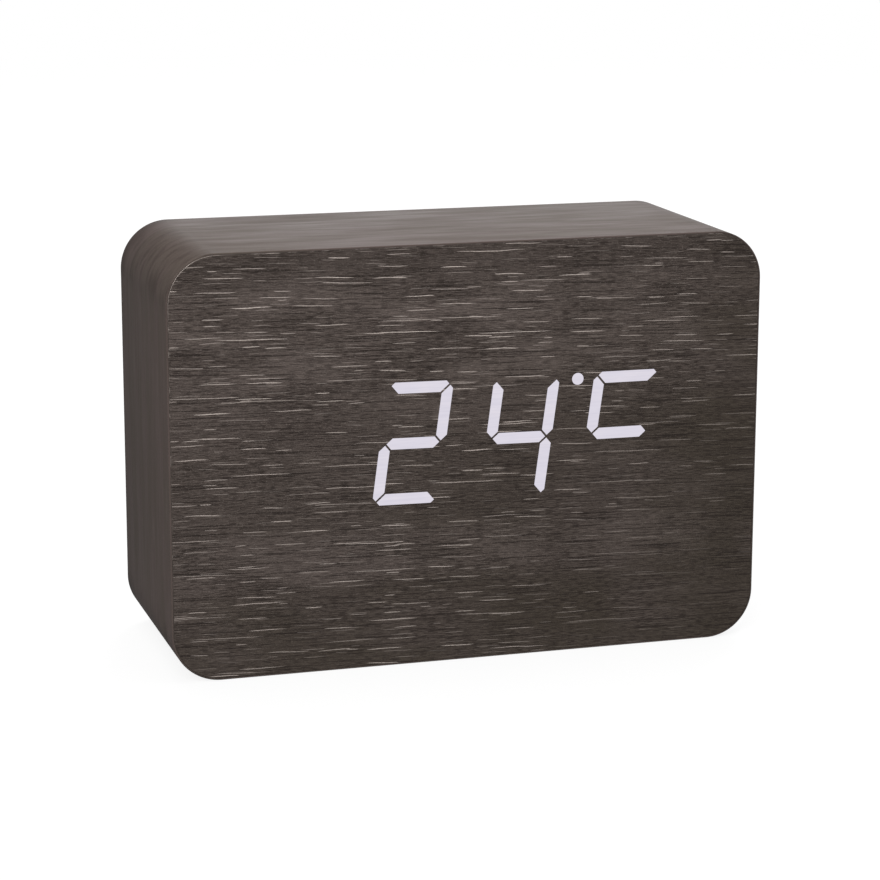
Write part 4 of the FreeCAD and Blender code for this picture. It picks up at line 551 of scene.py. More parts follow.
for nodeName, carried in nodes.items():
    for held in carried.material_slots:
        slotOf[nodeName] = held.material.name
        held.material = finishes[held.material.name]
print("materials made:", len(finishes))


def addObject(name, data):
    made = bpy.data.objects.new(name, data)
    bpy.context.scene.collection.objects.link(made)
    return made


def dropObject(helper):
    shape = helper.data
    bpy.data.objects.remove(helper)
    bpy.data.meshes.remove(shape)


def meshOf(bm, name):  # ends the building of a mesh, with its faces turned outwards
    bmesh.ops.recalc_face_normals(bm, faces=bm.faces)
    mesh = bpy.data.meshes.new(name)
    bm.to_mesh(mesh)
    bm.free()
    return mesh


def finishPiece(mesh, name, body, slotName, materials=(), replaced=None, sharpFrom=32, flats=False):
    for material in materials:
        mesh.materials.append(material)
    for face in mesh.polygons:
        face.use_smooth = True
    mesh.set_sharp_from_angle(angle=math.radians(sharpFrom))
    piece = addObject(name, mesh)
    if flats:  # keeps large flat faces looking flat beside their rounded edges
        piece.modifiers.new("flatFaces", "WEIGHTED_NORMAL").keep_sharp = True
    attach(piece, body)
    if replaced:
        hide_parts(replaced)


def replaceNode(bm, nodeName, body="clock", materials=None, **shading):
    name, slotName = inCapitals(nodeName), slotOf[nodeName]
    materials = materials or [finishes[slotName]]
    finishPiece(meshOf(bm, name), name, body, slotName, materials, nodeName, **shading)


def mergePoints(bm, within=1e-7):
    bmesh.ops.remove_doubles(bm, verts=bm.verts, dist=within)


def nodeCopy(nodeName):  # a CAD node's mesh with its doubled points merged
    bm = bmesh.new()
    bm.from_mesh(nodes[nodeName].data)
    mergePoints(bm, 1e-6)
    return bm


def joinRings(bm, rings, finish=(0,)):  # walls between each closed ring of points and the next
    walls = []
    for first, second in zip(rings, rings[1:]):
        for i in range(len(first)):
            after = (i + 1) % len(first)
            wall = bm.faces.new((first[i], first[after], second[after], second[i]))
            wall.material_index = finish[i % len(finish)]
            walls.append(wall)
    return walls


def fillFlat(bm, loops, normal):  # fills the area between closed loops of points
    edges = [bm.edges.get(pair) for loop in loops for pair in zip(loop, loop[1:] + loop[:1])]
    bmesh.ops.triangle_fill(bm, edges=edges, use_beauty=True, normal=normal)


def rectangle(left, right, low, high):
    return [(left, low), (right, low), (right, high), (left, high)]


def crossOutline(arm, half):  # a plus sign's twelve corners
    return [(arm, -half), (arm, half), (half, half), (half, arm), (-half, arm), (-half, half),
            (-arm, half), (-arm, -half), (-half, -half), (-half, -arm), (half, -arm), (half, -half)]


def roundedOutline(halfWide, low, high, radius, steps):
    # points and outward directions round a rounded rectangle, from the right end of its underside upwards
    x, bottom, top = halfWide - radius, low + radius, high - radius
    path = []
    for centreX, centreZ, start in ((x, bottom, -90), (x, top, 0), (-x, top, 90), (-x, bottom, 180)):
        for step in range(steps + 1):
            angle = math.radians(start + 90 * step / steps)
            way = Vector((math.cos(angle), 0, math.sin(angle)))
            path.append((Vector((centreX, 0, centreZ)) + way * radius, way))
    return path


def outlineRing(bm, path, offset, inset):
    return [bm.verts.new(offset + point - way * inset) for point, way in path]


def addPrism(bm, outline, low, high, unit=mm):  # outline in x and z, between two places along Y
    rings = [[bm.verts.new((x * unit, y * unit, z * unit)) for x, z in outline] for y in (low, high)]
    for ring in rings:
        bm.faces.new(ring)
    joinRings(bm, rings)


def frontLoops(nodeName):
    # outlines of a node's foremost faces, as closed rings of points
    source = nodeCopy(nodeName)
    front = min(vert.co.y for vert in source.verts) + 0.01 * mm
    faces = [face for face in source.faces if face.normal.y < -0.9 and face.calc_center_median().y < front]
    onward = {}
    for face in faces:
        for loop in face.loops:
            if not any(other in faces for other in loop.edge.link_faces if other is not face):
                onward[loop.vert] = loop.link_loop_next.vert
    rings = []
    while onward:
        start, ring = next(iter(onward)), []
        while start in onward:
            ring.append(start.co.copy())
            start = onward.pop(start)
        rings.append(ring)
    source.free()
    return rings


# the film glows in bars drawn a little inside the wells' outlines; each figure is set as the photographed one
litFigures = {
    "inset": 0.07,
    "figures": (  # x from and to, changes of width and height, of lean and rise, and the shift in x and z
        (-26.0, -3.0, -0.036, -0.016, -0.0076, -0.0129, (-0.21, 0.15)),
        (3.0, 23.0, -0.02, -0.009, -0.0077, -0.0139, (-0.17, -0.18)),
        (28.0, 47.0, 0.007, 0.009, -0.0063, -0.0034, (0.0, -0.37))),
}


def insetRing(ring, amount):
    # moves each corner of a ring in the plane of x and z inwards, square to the two edges that meet there
    area = sum(ring[i - 1].x * point.z - point.x * ring[i - 1].z for i, point in enumerate(ring))
    side = 1 if area > 0 else -1
    moved = []
    for i, point in enumerate(ring):
        edges = (point - ring[i - 1], ring[(i + 1) % len(ring)] - point)
        first, second = (Vector((-edge.z, 0, edge.x)).normalized() * side for edge in edges)
        moved.append(point + (first + second) * (amount / (1 + first.dot(second))))
    return moved


def makeLitRings():
    rings = [insetRing(ring, litFigures["inset"] * mm) for ring in frontLoops("lit_segments")]
    for left, right, wide, tall, lean, rise, shift in litFigures["figures"]:
        own = [ring for ring in rings if left * mm < sum(point.x for point in ring) / len(ring) < right * mm]
        points = [point for ring in own for point in ring]
        x = (min(point.x for point in points) + max(point.x for point in points)) / 2
        z = (min(point.z for point in points) + max(point.z for point in points)) / 2
        for point in points:
            across, upward = point.x - x, point.z - z
            point.x += across * wide + upward * lean + shift[0] * mm
            point.z += across * rise + upward * tall + shift[1] * mm
    return rings


filmSizes = {"thickness": 0.4, "caseRadius": 11.6, "cornerSteps": 28, "frontChamfer": 0.15,
             "frontRound": 0.3, "rearRound": 0.12, "roundSteps": 4, "seamPlace": 46.0, "seamGap": 0.2}


def makeFrontFilm(holes):
    sizes = filmSizes
    low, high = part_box("front_film")
    chamfer = sizes["frontChamfer"] * mm
    radius = (sizes["caseRadius"] - sizes["thickness"]) * mm
    path = roundedOutline(high.x, low.z, high.z, radius, sizes["cornerSteps"])
    bm = bmesh.new()
    stages = ((chamfer, low.y), (0.0, low.y + chamfer), (0.0, high.y))
    rings = [outlineRing(bm, path, Vector((0, y, 0)), inset) for inset, y in stages]
    joinRings(bm, rings, [1])
    fronts, backs = [rings[0]], [rings[2]]
    for hole in holes:
        front, back = ([bm.verts.new((point.x, y, point.z)) for point in hole] for y in (low.y, high.y))
        joinRings(bm, [front, back])
        fronts.append(front)
        backs.append(back)
    fillFlat(bm, fronts, (0, -1, 0))
    fillFlat(bm, backs, (0, 1, 0))
    replaceNode(bm, "front_film", materials=[finishes["wood_film_front"], filmCut])


def makeLitSegments(outlines):
    low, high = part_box("lit_segments")
    bm = bmesh.new()
    for ring in outlines:
        addPrism(bm, [(point.x, point.z) for point in ring], low.y, high.y, 1.0)
    replaceNode(bm, "lit_segments")


def roundedEdge(radius, edge, way):
    arc, steps = [], filmSizes["roundSteps"]
    for step in range(steps + 1):
        angle = math.radians(90 * step / steps)
        arc.append((radius * (1 - math.cos(angle)), edge + way * radius * (1 - math.sin(angle)), 0))
    return arc


def wrapSection(low, high):
    # its profile: distance in from the outside, place along Y, finish of the stretch that follows
    thick = filmSizes["thickness"] * mm
    front = roundedEdge(filmSizes["frontRound"] * mm, low.y, 1)
    rear = roundedEdge(filmSizes["rearRound"] * mm, high.y, -1)
    return [*front, (thick, low.y, 0), (thick, high.y, 1), *rear[::-1]]


def makeWrapFilm():
    sizes = filmSizes
    low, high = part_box("wrap_film")
    path = roundedOutline(high.x, low.z, high.z, sizes["caseRadius"] * mm, sizes["cornerSteps"])
    seams = [(sizes["seamPlace"] + side * sizes["seamGap"] / 2) * mm for side in (1, -1)]
    begin, end = ((Vector((x, 0, low.z)), Vector((0, 0, -1))) for x in seams)
    path = [begin, *path, end]
    section = wrapSection(low, high)
    bm = bmesh.new()
    run = bm.loops.layers.uv.new("grainRun")
    rings, along, walked = [], {}, 0.0
    for i, (point, way) in enumerate(path):
        if i:
            walked += (point - path[i - 1][0]).length
        ring = [bm.verts.new(Vector((0, y, 0)) + point - way * inset) for inset, y, finish in section]
        along.update(dict.fromkeys(ring, walked))
        rings.append(ring)
    joinRings(bm, rings, [finish for inset, y, finish in section])
    for ring in (rings[0], rings[-1]):
        bm.faces.new(ring).material_index = 1
    for face in bm.faces:
        for loop in face.loops:
            loop[run].uv = (along[loop.vert], loop.vert.co.y)
    replaceNode(bm, "wrap_film", materials=[finishes["wood_film_wrap"], filmCore])


litRings = makeLitRings()
makeFrontFilm(litRings)
makeLitSegments(litRings)
makeWrapFilm()
print("film pieces made")


softEdges = {  # node: radius of its edges in millimetres, steps round an edge, the body it moves with
    "set_button": (0.3, 3, "set_key"), "alarm_button": (0.3, 3, "alarm_key"),
    "down_button": (0.3, 3, "down_key"), "up_button": (0.3, 3, "up_key"),
    "battery_door": (0.1, 2, "battery_door"), "rear_panel": (0.12, 2), "power_jack": (0.2, 2),
    "buzzer": (0.25, 2), "sound_sensor": (0.2, 2), "tact_switches": (0.12, 1), "ribbon_sockets": (0.2, 2),
    "controller_chip": (0.08, 1), "display_driver": (0.08, 1), "receiver_chip": (0.08, 1),
    "antenna_holders": (0.2, 2), "antenna_former": (0.15, 2),
}
foldAngles = {"flatWithin": 0.5, "roundedFrom": 30}  # degrees between neighbouring faces
smoothWires = ("contact_springs", "battery_leads", "antenna_leads", "receiver_leads", "temperature_sensor")


def makeSoftEdged(nodeName, radius, steps, body="clock"):
    bm = nodeCopy(nodeName)
    flat, fold = math.radians(foldAngles["flatWithin"]), math.radians(foldAngles["roundedFrom"])
    bmesh.ops.dissolve_limit(bm, angle_limit=flat, verts=bm.verts, edges=bm.edges)
    folds = [edge for edge in bm.edges if edge.is_manifold and edge.calc_face_angle() > fold]
    bmesh.ops.bevel(bm, geom=folds, offset=radius * mm, offset_type="OFFSET", segments=steps, profile=0.5,
                    affect="EDGES", clamp_overlap=True)
    replaceNode(bm, nodeName, body, flats=True)


for nodeName, values in softEdges.items():
    makeSoftEdged(nodeName, *values)
for nodeName in smoothWires:  # six-sided wires shaded as round ones
    replaceNode(nodeCopy(nodeName), nodeName, sharpFrom=75)
print("moulded parts rounded and wires smoothed")


signPaint = makeMoulded("signPaint", (172, 171, 166), 0.55, 0.2, 0.01)
signs = {
    "raised": 0.12, "sunk": 0.05, "face": 25.5, "letters": 1.7, "belowButton": 5.3,
    "words": {"set_button": "SET", "alarm_button": "ALARM", "down_button": "DOWN", "up_button": "UP"},
    "wordShift": 1.4, "arrowSize": 1.5, "arrowShift": {"DOWN": 4.2, "UP": 2.2},  # for the words with an arrow
    "openWord": (0.0, 36.0, 2.2), "openArrow": (0.0, 39.4, 2.6),  # x, z and size
}


def fromBehind(x, y, z):  # lays a flat drawing on a face that looks towards the back
    return Matrix(((-1, 0, 0, x * mm), (0, 0, 1, y * mm), (0, 1, 0, z * mm), (0, 0, 0, 1)))


def addWord(bm, word, x, z, tall):
    curve = bpy.data.curves.new("word", "FONT")
    thick = signs["raised"] + signs["sunk"]
    curve.body, curve.size, curve.extrude = word, tall * 1.4 * mm, thick / 2 * mm
    curve.align_x = curve.align_y = "CENTER"
    curve.resolution_u = 3
    letters = bpy.data.objects.new("word", curve)
    mesh = bpy.data.meshes.new_from_object(letters)
    mesh.transform(fromBehind(x, signs["face"] + signs["raised"] - thick / 2, z))
    bm.from_mesh(mesh)
    bpy.data.objects.remove(letters)
    bpy.data.curves.remove(curve)
    bpy.data.meshes.remove(mesh)


def addArrow(bm, x, z, size, up):
    tip = size * (0.5 if up else -0.5)
    outline = [(x - size * 0.6, z - tip), (x + size * 0.6, z - tip), (x, z + tip)]
    addPrism(bm, outline, signs["face"] - signs["sunk"], signs["face"] + signs["raised"])


def makePanelSigns():
    bm = bmesh.new()
    for nodeName, word in signs["words"].items():
        low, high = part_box(nodeName)
        x = (low.x + high.x) / 2 / mm
        z = (low.z + high.z) / 2 / mm - signs["belowButton"]
        hasArrow = word in signs["arrowShift"]
        addWord(bm, word, x + (signs["wordShift"] if hasArrow else 0.0), z, signs["letters"])
        if hasArrow:
            addArrow(bm, x - signs["arrowShift"][word], z, signs["arrowSize"], word == "UP")
    mergePoints(bm)
    finishPiece(meshOf(bm, "panelSigns"), "panelSigns", "clock", "panel_plastic", [signPaint])


doorMarks = {
    "face": 23.7, "raised": 0.18, "sunk": 0.05, "line": 0.45, "outlineLong": 41.0, "outlineTall": 9.4,
    "corner": 1.2, "outlineShift": 0.6, "nubGap": 0.2, "nubLong": 1.0, "nubTall": 3.6, "sign": 2.6,
    "signPlace": 16.5,
}
cellNames = ("battery_cell_a", "battery_cell_b", "battery_cell_c")


def addOutline(bm, x, z):
    marks = doorMarks
    halfTall = marks["outlineTall"] / 2
    path = roundedOutline(marks["outlineLong"] / 2 * mm, (z - halfTall) * mm, (z + halfTall) * mm,
                          marks["corner"] * mm, 5)
    rings = []
    for y, inset in rectangle(marks["sunk"], -marks["raised"], 0.0, marks["line"]):
        rings.append(outlineRing(bm, path, Vector((x * mm, (marks["face"] + y) * mm, 0)), inset * mm))
    joinRings(bm, rings + rings[:1])


def makeDoorMarks():
    # outside: the word and arrow that show how the door opens; inside: outlines of the three cells
    marks = doorMarks
    bm = bmesh.new()
    addWord(bm, "OPEN", *signs["openWord"])
    addArrow(bm, *signs["openArrow"], False)
    low, high = marks["face"] - marks["raised"], marks["face"] + marks["sunk"]
    half, line, tall = marks["sign"] / 2, marks["line"] / 2, marks["nubTall"] / 2
    for nodeName in cellNames:
        boxLow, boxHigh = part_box(nodeName)
        way = -1 if boxLow.x + boxHigh.x < 0 else 1  # the side of the nub
        z = (boxLow.z + boxHigh.z) / 2 / mm
        addOutline(bm, -way * marks["outlineShift"], z)
        nub = way * (marks["outlineLong"] / 2 + marks["nubGap"])
        ends = sorted((nub, nub + way * marks["nubLong"]))
        place = way * marks["signPlace"]
        plusSign = [(place + x, z + up) for x, up in crossOutline(half, line)]
        minusSign = rectangle(-place - half, -place + half, z - line, z + line)
        for outline in (rectangle(*ends, z - tall, z + tall), plusSign, minusSign):
            addPrism(bm, outline, low, high)
    mergePoints(bm)
    plastic = finishes["panel_plastic"]
    finishPiece(meshOf(bm, "doorMarks"), "doorMarks", "battery_door", "panel_plastic", [plastic])


makePanelSigns()
makeDoorMarks()
print("signs raised on the back")


def spinProfile(bm, profile, steps, place, axis, uvLayer=None):
    # profile: distance along the axis, radius and the finish of the stretch that follows
    side = Vector((0, 1, 0))
    across = axis.cross(side)
    rings = []
    for along, radius, finish in profile:
        turns = (math.tau * i / steps for i in range(steps))
        spokes = (side * math.cos(turn) + across * math.sin(turn) for turn in turns)
        rings.append([bm.verts.new(place + axis * along + spoke * radius) for spoke in spokes])
    for index, wall in enumerate(joinRings(bm, rings)):
        k, i = divmod(index, steps)
        wall.material_index = profile[k][2]
        if uvLayer:
            for loop, row, turn in zip(wall.loops, (k, k, k + 1, k + 1), (i, i + 1, i + 1, i)):
                turn = turn / steps - (1.0 if i >= steps / 2 else 0.0)
                loop[uvLayer].uv = (profile[row][0], turn * math.tau * profile[k][1])
    mergePoints(bm)


cellSizes = {
    "radius": 5.15, "nubRadius": 1.9, "nubLong": 1.2, "steps": 48, "sleeve": rgb(38, 74, 50),
    "band": rgb(196, 190, 172), "sign": rgb(226, 222, 208), "smear": rgb(120, 120, 110), "bandFrom": 34.0,
    "plusAt": 38.5, "minusAt": 6.0, "signHalf": 1.8, "lineHalf": 0.4,
}


def makeCellSleeve():  # printed sleeve: plain green, a pale band by the positive end, + and - signs
    look = cellSizes
    material, place = newMaterial("cellSleeve", {"Coat Weight": 0.4, "Coat Roughness": 0.15, "IOR": 1.5})
    along, around = split(uvPlace(material, "sleeveRun"))[:2]
    long, thin = look["signHalf"], look["lineHalf"]

    def bar(centre, halfLong, halfWide):
        return times(below(gap(along, centre), halfLong), below(gap(around), halfWide))

    smear = noise(place, (6.0, 3.0, 3.0), 3.0, 0.6)
    plusSign = most(bar(look["plusAt"], long, thin), bar(look["plusAt"], thin, long))
    minusSign = bar(look["minusAt"], thin, long)
    colour = layered(
        mix(above(along, look["bandFrom"]), look["sleeve"], look["band"]), look,
        (ease(smear, 0.3, 0.8, 0.0, 0.12), "smear"), (plusSign, "sleeve"), (minusSign, "sign"))
    return paint(material, colour, handled(place, 0.3, 0.1), {"Normal": bump(smear, 0.02, 0.4)})


def makeCell(nodeName):
    sizes = cellSizes
    low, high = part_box(nodeName)
    way = -1 if low.x + high.x < 0 else 1
    start = Vector((high.x if way < 0 else low.x, (low.y + high.y) / 2, (low.z + high.z) / 2))
    long = (high.x - low.x) / mm
    top, radius, nub = long - sizes["nubLong"], sizes["radius"], sizes["nubRadius"]  # the top of the shoulder
    profile = [
        (0.0, 0, 1), (0.0, 3.7, 1), (0.25, 4.0, 1), (0.25, 4.3, 0), (0.05, 4.5, 0), (0.15, 4.85, 0),
        (0.45, radius, 0), (top - 0.45, radius, 0), (top - 0.15, 4.85, 0), (top, 4.55, 0),
        (top - 0.1, 4.2, 2), (top - 0.3, 4.0, 2), (top - 0.3, nub + 0.9, 1), (top, nub + 0.5, 1),
        (top, nub, 1), (long - 0.25, nub, 1), (long, nub - 0.25, 1), (long, 0, 1)]
    bm = bmesh.new()
    run = bm.loops.layers.uv.new("sleeveRun")
    scaled = [(along * mm, reach * mm, finish) for along, reach, finish in profile]
    spinProfile(bm, scaled, sizes["steps"], start, Vector((way, 0, 0)), run)
    replaceNode(bm, nodeName, materials=[cellSleeve, finishes["nickel_steel"], finishes["chip_plastic"]])


cellSleeve = makeCellSleeve()
for nodeName in cellNames:
    makeCell(nodeName)
print("battery cells turned")


def newGrowth(name, **kinds):  # a geometry node tree, then its inputs: the geometry and those named
    tree = bpy.data.node_groups.new(name, "GeometryNodeTree")
    for label, kind in {"Geometry": "Geometry", **kinds}.items():
        tree.interface.new_socket(label, in_out="INPUT", socket_type="NodeSocket" + kind)
    return tree, *addNode("NodeGroupInput", tree=tree)[:-1]


def endGrowth(tree, geometry, *paints):
    geometry = addNode("GeometryNodeRealizeInstances", {"Geometry": geometry})[0]
    for coat in paints:
        geometry = addNode("GeometryNodeSetMaterial", {"Geometry": geometry, **coat})[0]
    tree.interface.new_socket("Geometry", in_out="OUTPUT", socket_type="NodeSocketGeometry")
    feed(tree.nodes.new("NodeGroupOutput").inputs[0], geometry)
    return tree


def grow(tree, start, **values):  # runs a geometry node tree over a starting mesh and gives a plain mesh
    helper = addObject("helper", start)
    modifier = helper.modifiers.new("grow", "NODES")
    modifier.node_group = tree
    for socket in tree.interface.items_tree:
        if socket.name in values:
            modifier[socket.identifier] = values[socket.name]
    helper.update_tag()
    mesh = bpy.data.meshes.new_from_object(helper.evaluated_get(bpy.context.evaluated_depsgraph_get()))
    dropObject(helper)
    return mesh


def plainMesh(points, faces=()):
    mesh = bpy.data.meshes.new("start")
    mesh.from_pydata(points, [], faces)
    return mesh


def placeOn(points, thing, turn):
    shape = addNode("GeometryNodeObjectInfo", {"Object": thing})["Geometry"]
    return addNode("GeometryNodeInstanceOnPoints", {"Points": points, "Instance": shape, "Rotation": turn})[0]


def makeScrewTree():
    tree, points, screw, mostTurn, seed, material = newGrowth(
        "setScrews", Screw="Object", MostTurn="Float", Seed="Int", Material="Material")
    chance = addNode("FunctionNodeRandomValue", {3: mostTurn, 8: seed}, data_type="FLOAT")[1]
    return endGrowth(tree, placeOn(points, screw, join(0.0, chance)), {"Material": material})


smallScrew = dict(headRadius=2.1, headTall=1.4, shankRadius=1.1, pitch=0.9, arm=1.15, slot=0.5)
screwKinds = {
    # arm and slot are the half length and the width of the cross, long is the length under the head,
    # way is where the head looks along Y, and at holds the places' lowest and highest x and z
    "rear_screws": dict(headRadius=2.7, headTall=1.7, shankRadius=1.4, pitch=1.15, arm=1.45, slot=0.62,
                        long=13.0, way=1, seed=4, at=(-57.6, 57.6, 14.4, 85.6)),
    "board_screws": dict(smallScrew, long=7.65, way=-1, seed=9, at=(-45.3, 45.3, 65.2, 82.8)),
    "display_screws": dict(smallScrew, long=7.1, way=1, seed=2),
}
screwShape = {
    "steps": 24, "rowsToTurn": 6, "flank": 3.4, "runIn": 2.0, "lowRidge": 0.35, "first": 0.35, "last": 0.4,
    "core": 0.74,  # share of the shank's radius
    "tip": 0.55, "neck": (1.05, -0.2),  # shares of the core's radius, and the neck's place under the head
    "head": ((1.0, 0.0), (1.0, 0.4), (0.96, 0.7), (0.86, 0.91), (0.72, 1.0)),  # shares of radius and height
    "pit": (0.7, 0.9, 0.38),  # bottom of the cross: shares of its length and width, and of the head's height
}


def screwMesh(kind):
    # along its own axis: the underside of the head at zero, head upwards, turned to the wanted way at the end
    shape = screwShape
    steps = shape["steps"]
    tall, shank, long, pitch = kind["headTall"], kind["shankRadius"], kind["long"], kind["pitch"]
    core, low, (neck, neckPlace) = shank * shape["core"], shape["lowRidge"], shape["neck"]
    bm = bmesh.new()

    def ring(radius, z, threaded=False):
        made = []
        for i in range(steps):
            reach = radius
            if threaded:  # the thread's ridge, which is lower near the tip
                rise = (z / pitch - i / steps) % 1.0
                ridge = max(0.0, 1.0 - abs(rise - 0.5) * shape["flank"])
                ridge *= low + (1.0 - low) * min(1.0, (long + z) / shape["runIn"])
                reach = core + (radius - core) * ridge
            turn = math.tau * i / steps
            made.append(bm.verts.new((reach * math.cos(turn) * mm, reach * math.sin(turn) * mm, z * mm)))
        return made

    rows = int(long / pitch * shape["rowsToTurn"])
    threadLong = long - shape["first"] - shape["last"]
    rings = [ring(core * shape["tip"], -long)]
    rings += [ring(shank, shape["first"] - long + threadLong * k / rows, True) for k in range(rows + 1)]
    rings.append(ring(core * neck, neckPlace))
    rings += [ring(kind["headRadius"] * wide, tall * high) for wide, high in shape["head"]]
    joinRings(bm, rings)
    bm.faces.new(rings[0])
    cross = crossOutline(kind["arm"], kind["slot"] / 2)
    along, across, bottom = shape["pit"]
    lip = [bm.verts.new((x * mm, y * mm, tall * mm)) for x, y in cross]
    pit = [bm.verts.new((x * along * mm, y * across * mm, tall * bottom * mm)) for x, y in cross]
    joinRings(bm, [lip, pit])
    bm.faces.new(pit)
    fillFlat(bm, (rings[-1], lip), (0, 0, 1))
    turned = Matrix.Rotation(math.radians(-90 * kind["way"]), 3, "X")
    bmesh.ops.rotate(bm, verts=bm.verts, cent=(0, 0, 0), matrix=turned)
    return meshOf(bm, "screw")


def makeScrews(nodeName):
    kind = screwKinds[nodeName]
    low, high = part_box(nodeName)
    under = high.y - kind["headTall"] * mm if kind["way"] > 0 else low.y + kind["headTall"] * mm
    head = kind["headRadius"]
    inBox = (low.x / mm + head, high.x / mm - head, low.z / mm + head, high.z / mm - head)
    points = [(x * mm, under, z * mm) for x, z in rectangle(*kind.get("at", inBox))]
    screw = addObject("screw", screwMesh(kind))
    mesh = grow(screwTree, plainMesh(points), Screw=screw, MostTurn=math.tau, Seed=kind["seed"],
                Material=finishes[slotOf[nodeName]])
    dropObject(screw)
    finishPiece(mesh, inCapitals(nodeName), "clock", slotOf[nodeName], replaced=nodeName)


screwTree = makeScrewTree()
for nodeName in screwKinds:
    makeScrews(nodeName)
print("screws set")


coilSizes = {"radius": 6.05, "innerRadius": 4.85, "wire": 0.36, "centre": (0.0, -6.0, 17.4), "halfLong": 13.2,
             "steps": 26, "tubeSteps": 36}


def makeCoilTree():
    tree, *given = newGrowth("windCoil", Radius="Float", Wire="Float", Long="Float", Turns="Float",
                             Steps="Int", Middle="Vector", Material="Material")
    radius, wire, long, turns, steps, middle, material = given[1:]
    spiral = addNode("GeometryNodeCurveSpiral", {"Resolution": steps, "Rotations": turns, "Height": long,
                                                 "Start Radius": radius, "End Radius": radius})[0]
    begin = join(0.0, 0.0, times(long, -0.5))
    centred = addNode("GeometryNodeTransform", {"Geometry": spiral, "Translation": begin})[0]
    laid = addNode("GeometryNodeTransform", {"Geometry": centred, "Translation": middle,
                                             "Rotation": (0.0, math.pi / 2, 0.0)})[0]
    section = addNode("GeometryNodeCurvePrimitiveCircle", {"Resolution": 6, "Radius": times(wire, 0.5)},
                      mode="RADIUS")[0]
    inputs = {"Curve": laid, "Profile Curve": section, "Fill Caps": True}
    return endGrowth(tree, addNode("GeometryNodeCurveToMesh", inputs)[0], {"Material": material})


def makeCoil():
    sizes = coilSizes
    wire = sizes["wire"]
    long = 2 * sizes["halfLong"] - wire
    centre = Vector(sizes["centre"]) * mm
    winding = grow(makeCoilTree(), plainMesh([(0, 0, 0)]), Radius=(sizes["radius"] - wire / 2) * mm,
                   Wire=wire * mm, Long=long * mm, Turns=float(int(long / wire)), Steps=sizes["steps"],
                   Middle=tuple(centre), Material=finishes["copper_winding"])
    bm = bmesh.new()
    bm.from_mesh(winding)
    bpy.data.meshes.remove(winding)
    half = sizes["halfLong"] * mm
    tube = rectangle(-half, half, sizes["innerRadius"] * mm, (sizes["radius"] - wire * 0.6) * mm)
    profile = [(*corner, 0) for corner in tube + tube[:1]]
    spinProfile(bm, profile, sizes["tubeSteps"], centre, Vector((1, 0, 0)))
    replaceNode(bm, "antenna_coil", sharpFrom=75)


makeCoil()
print("winding wound")


smallParts = {
    "long": 1.6, "wide": 0.8, "tall": 0.5, "apart": 2.6, "perSquareMetre": 400000.0, "turnedShare": 0.45,
    "profile": ((0.0, 0.05), (0.06, 0.0), (0.34, 0.0), (0.35, 0.04)),  # place from an end, how much slimmer
    # a board: its face along Y, the way it looks, patches as x from, x to, z from, z to, and the seed
    "mainBoard": (14.85, -1, ((-39.0, -28.0, 70.0, 84.0), (-22.0, -11.0, 82.2, 85.2), (9.5, 13.5, 68.0, 84.0),
                              (17.0, 40.0, 76.0, 85.0)), 11),
    "displayBoard": (-18.5, 1, ((-48.0, -14.0, 46.0, 61.0), (32.0, 50.0, 46.0, 61.0)), 23),
}


def smallPartMesh():
    # a chip part with tinned ends, lying along X, its foot at y = 0 and its top towards +Y
    sizes = smallParts
    halfLong, halfWide, tall = sizes["long"] / 2, sizes["wide"] / 2, sizes["tall"]
    profile = [(place - halfLong, slimmer) for place, slimmer in sizes["profile"]]
    profile += [(-x, slimmer) for x, slimmer in reversed(profile)]
    bm = bmesh.new()
    ends = bm.faces.layers.bool.new("ends")
    rings = []
    for x, slimmer in profile:
        outline = rectangle(0, tall - slimmer, slimmer - halfWide, halfWide - slimmer)
        rings.append([bm.verts.new((x * mm, y * mm, z * mm)) for y, z in outline])
    for index, wall in enumerate(joinRings(bm, rings)):
        wall[ends] = index // 4 != 3
    for ring in (rings[0], rings[-1]):
        bm.faces.new(ring)[ends] = True
    return meshOf(bm, "smallPart")


def makeScatterTree():
    tree, patches, part, apart, seed, body, ends = newGrowth(
        "scatterParts", Part="Object", Apart="Float", Seed="Int", Body="Material", Ends="Material")
    density, turnedShare = smallParts["perSquareMetre"], smallParts["turnedShare"]
    inputs = {"Mesh": patches, "Distance Min": apart, "Density Max": density, "Seed": seed}
    spots = addNode("GeometryNodeDistributePointsOnFaces", inputs, distribute_method="POISSON")["Points"]
    chance = addNode("FunctionNodeRandomValue", {6: turnedShare, 8: seed}, data_type="BOOLEAN")[3]
    placed = placeOn(spots, part, join(0.0, times(chance, math.pi / 2)))
    named = addNode("GeometryNodeInputNamedAttribute", {"Name": "ends"}, tree, data_type="BOOLEAN")
    isEnd = next(socket for socket in named if socket.enabled and socket.name == "Attribute")
    return endGrowth(tree, placed, {"Material": body}, {"Selection": isEnd, "Material": ends})


def makeSmallParts(name):
    face, way, patches, seed = smallParts[name]
    corners = [(x * mm, face * mm, z * mm) for patch in patches for x, z in rectangle(*patch)]
    quads = [range(start, start + 4) for start in range(0, len(corners), 4)]
    part = addObject("smallPart", smallPartMesh())
    if way < 0:
        part.data.transform(Matrix.Rotation(math.pi, 4, "X"))
    mesh = grow(scatterTree, plainMesh(corners, quads), Part=part, Apart=smallParts["apart"] * mm, Seed=seed,
                Body=finishes["chip_plastic"], Ends=finishes["zinc_steel"])
    dropObject(part)
    finishPiece(mesh, name + "Parts", "clock", "chip_plastic")


scatterTree = makeScatterTree()
makeSmallParts("mainBoard")
makeSmallParts("displayBoard")
print("small parts scattered on the boards")


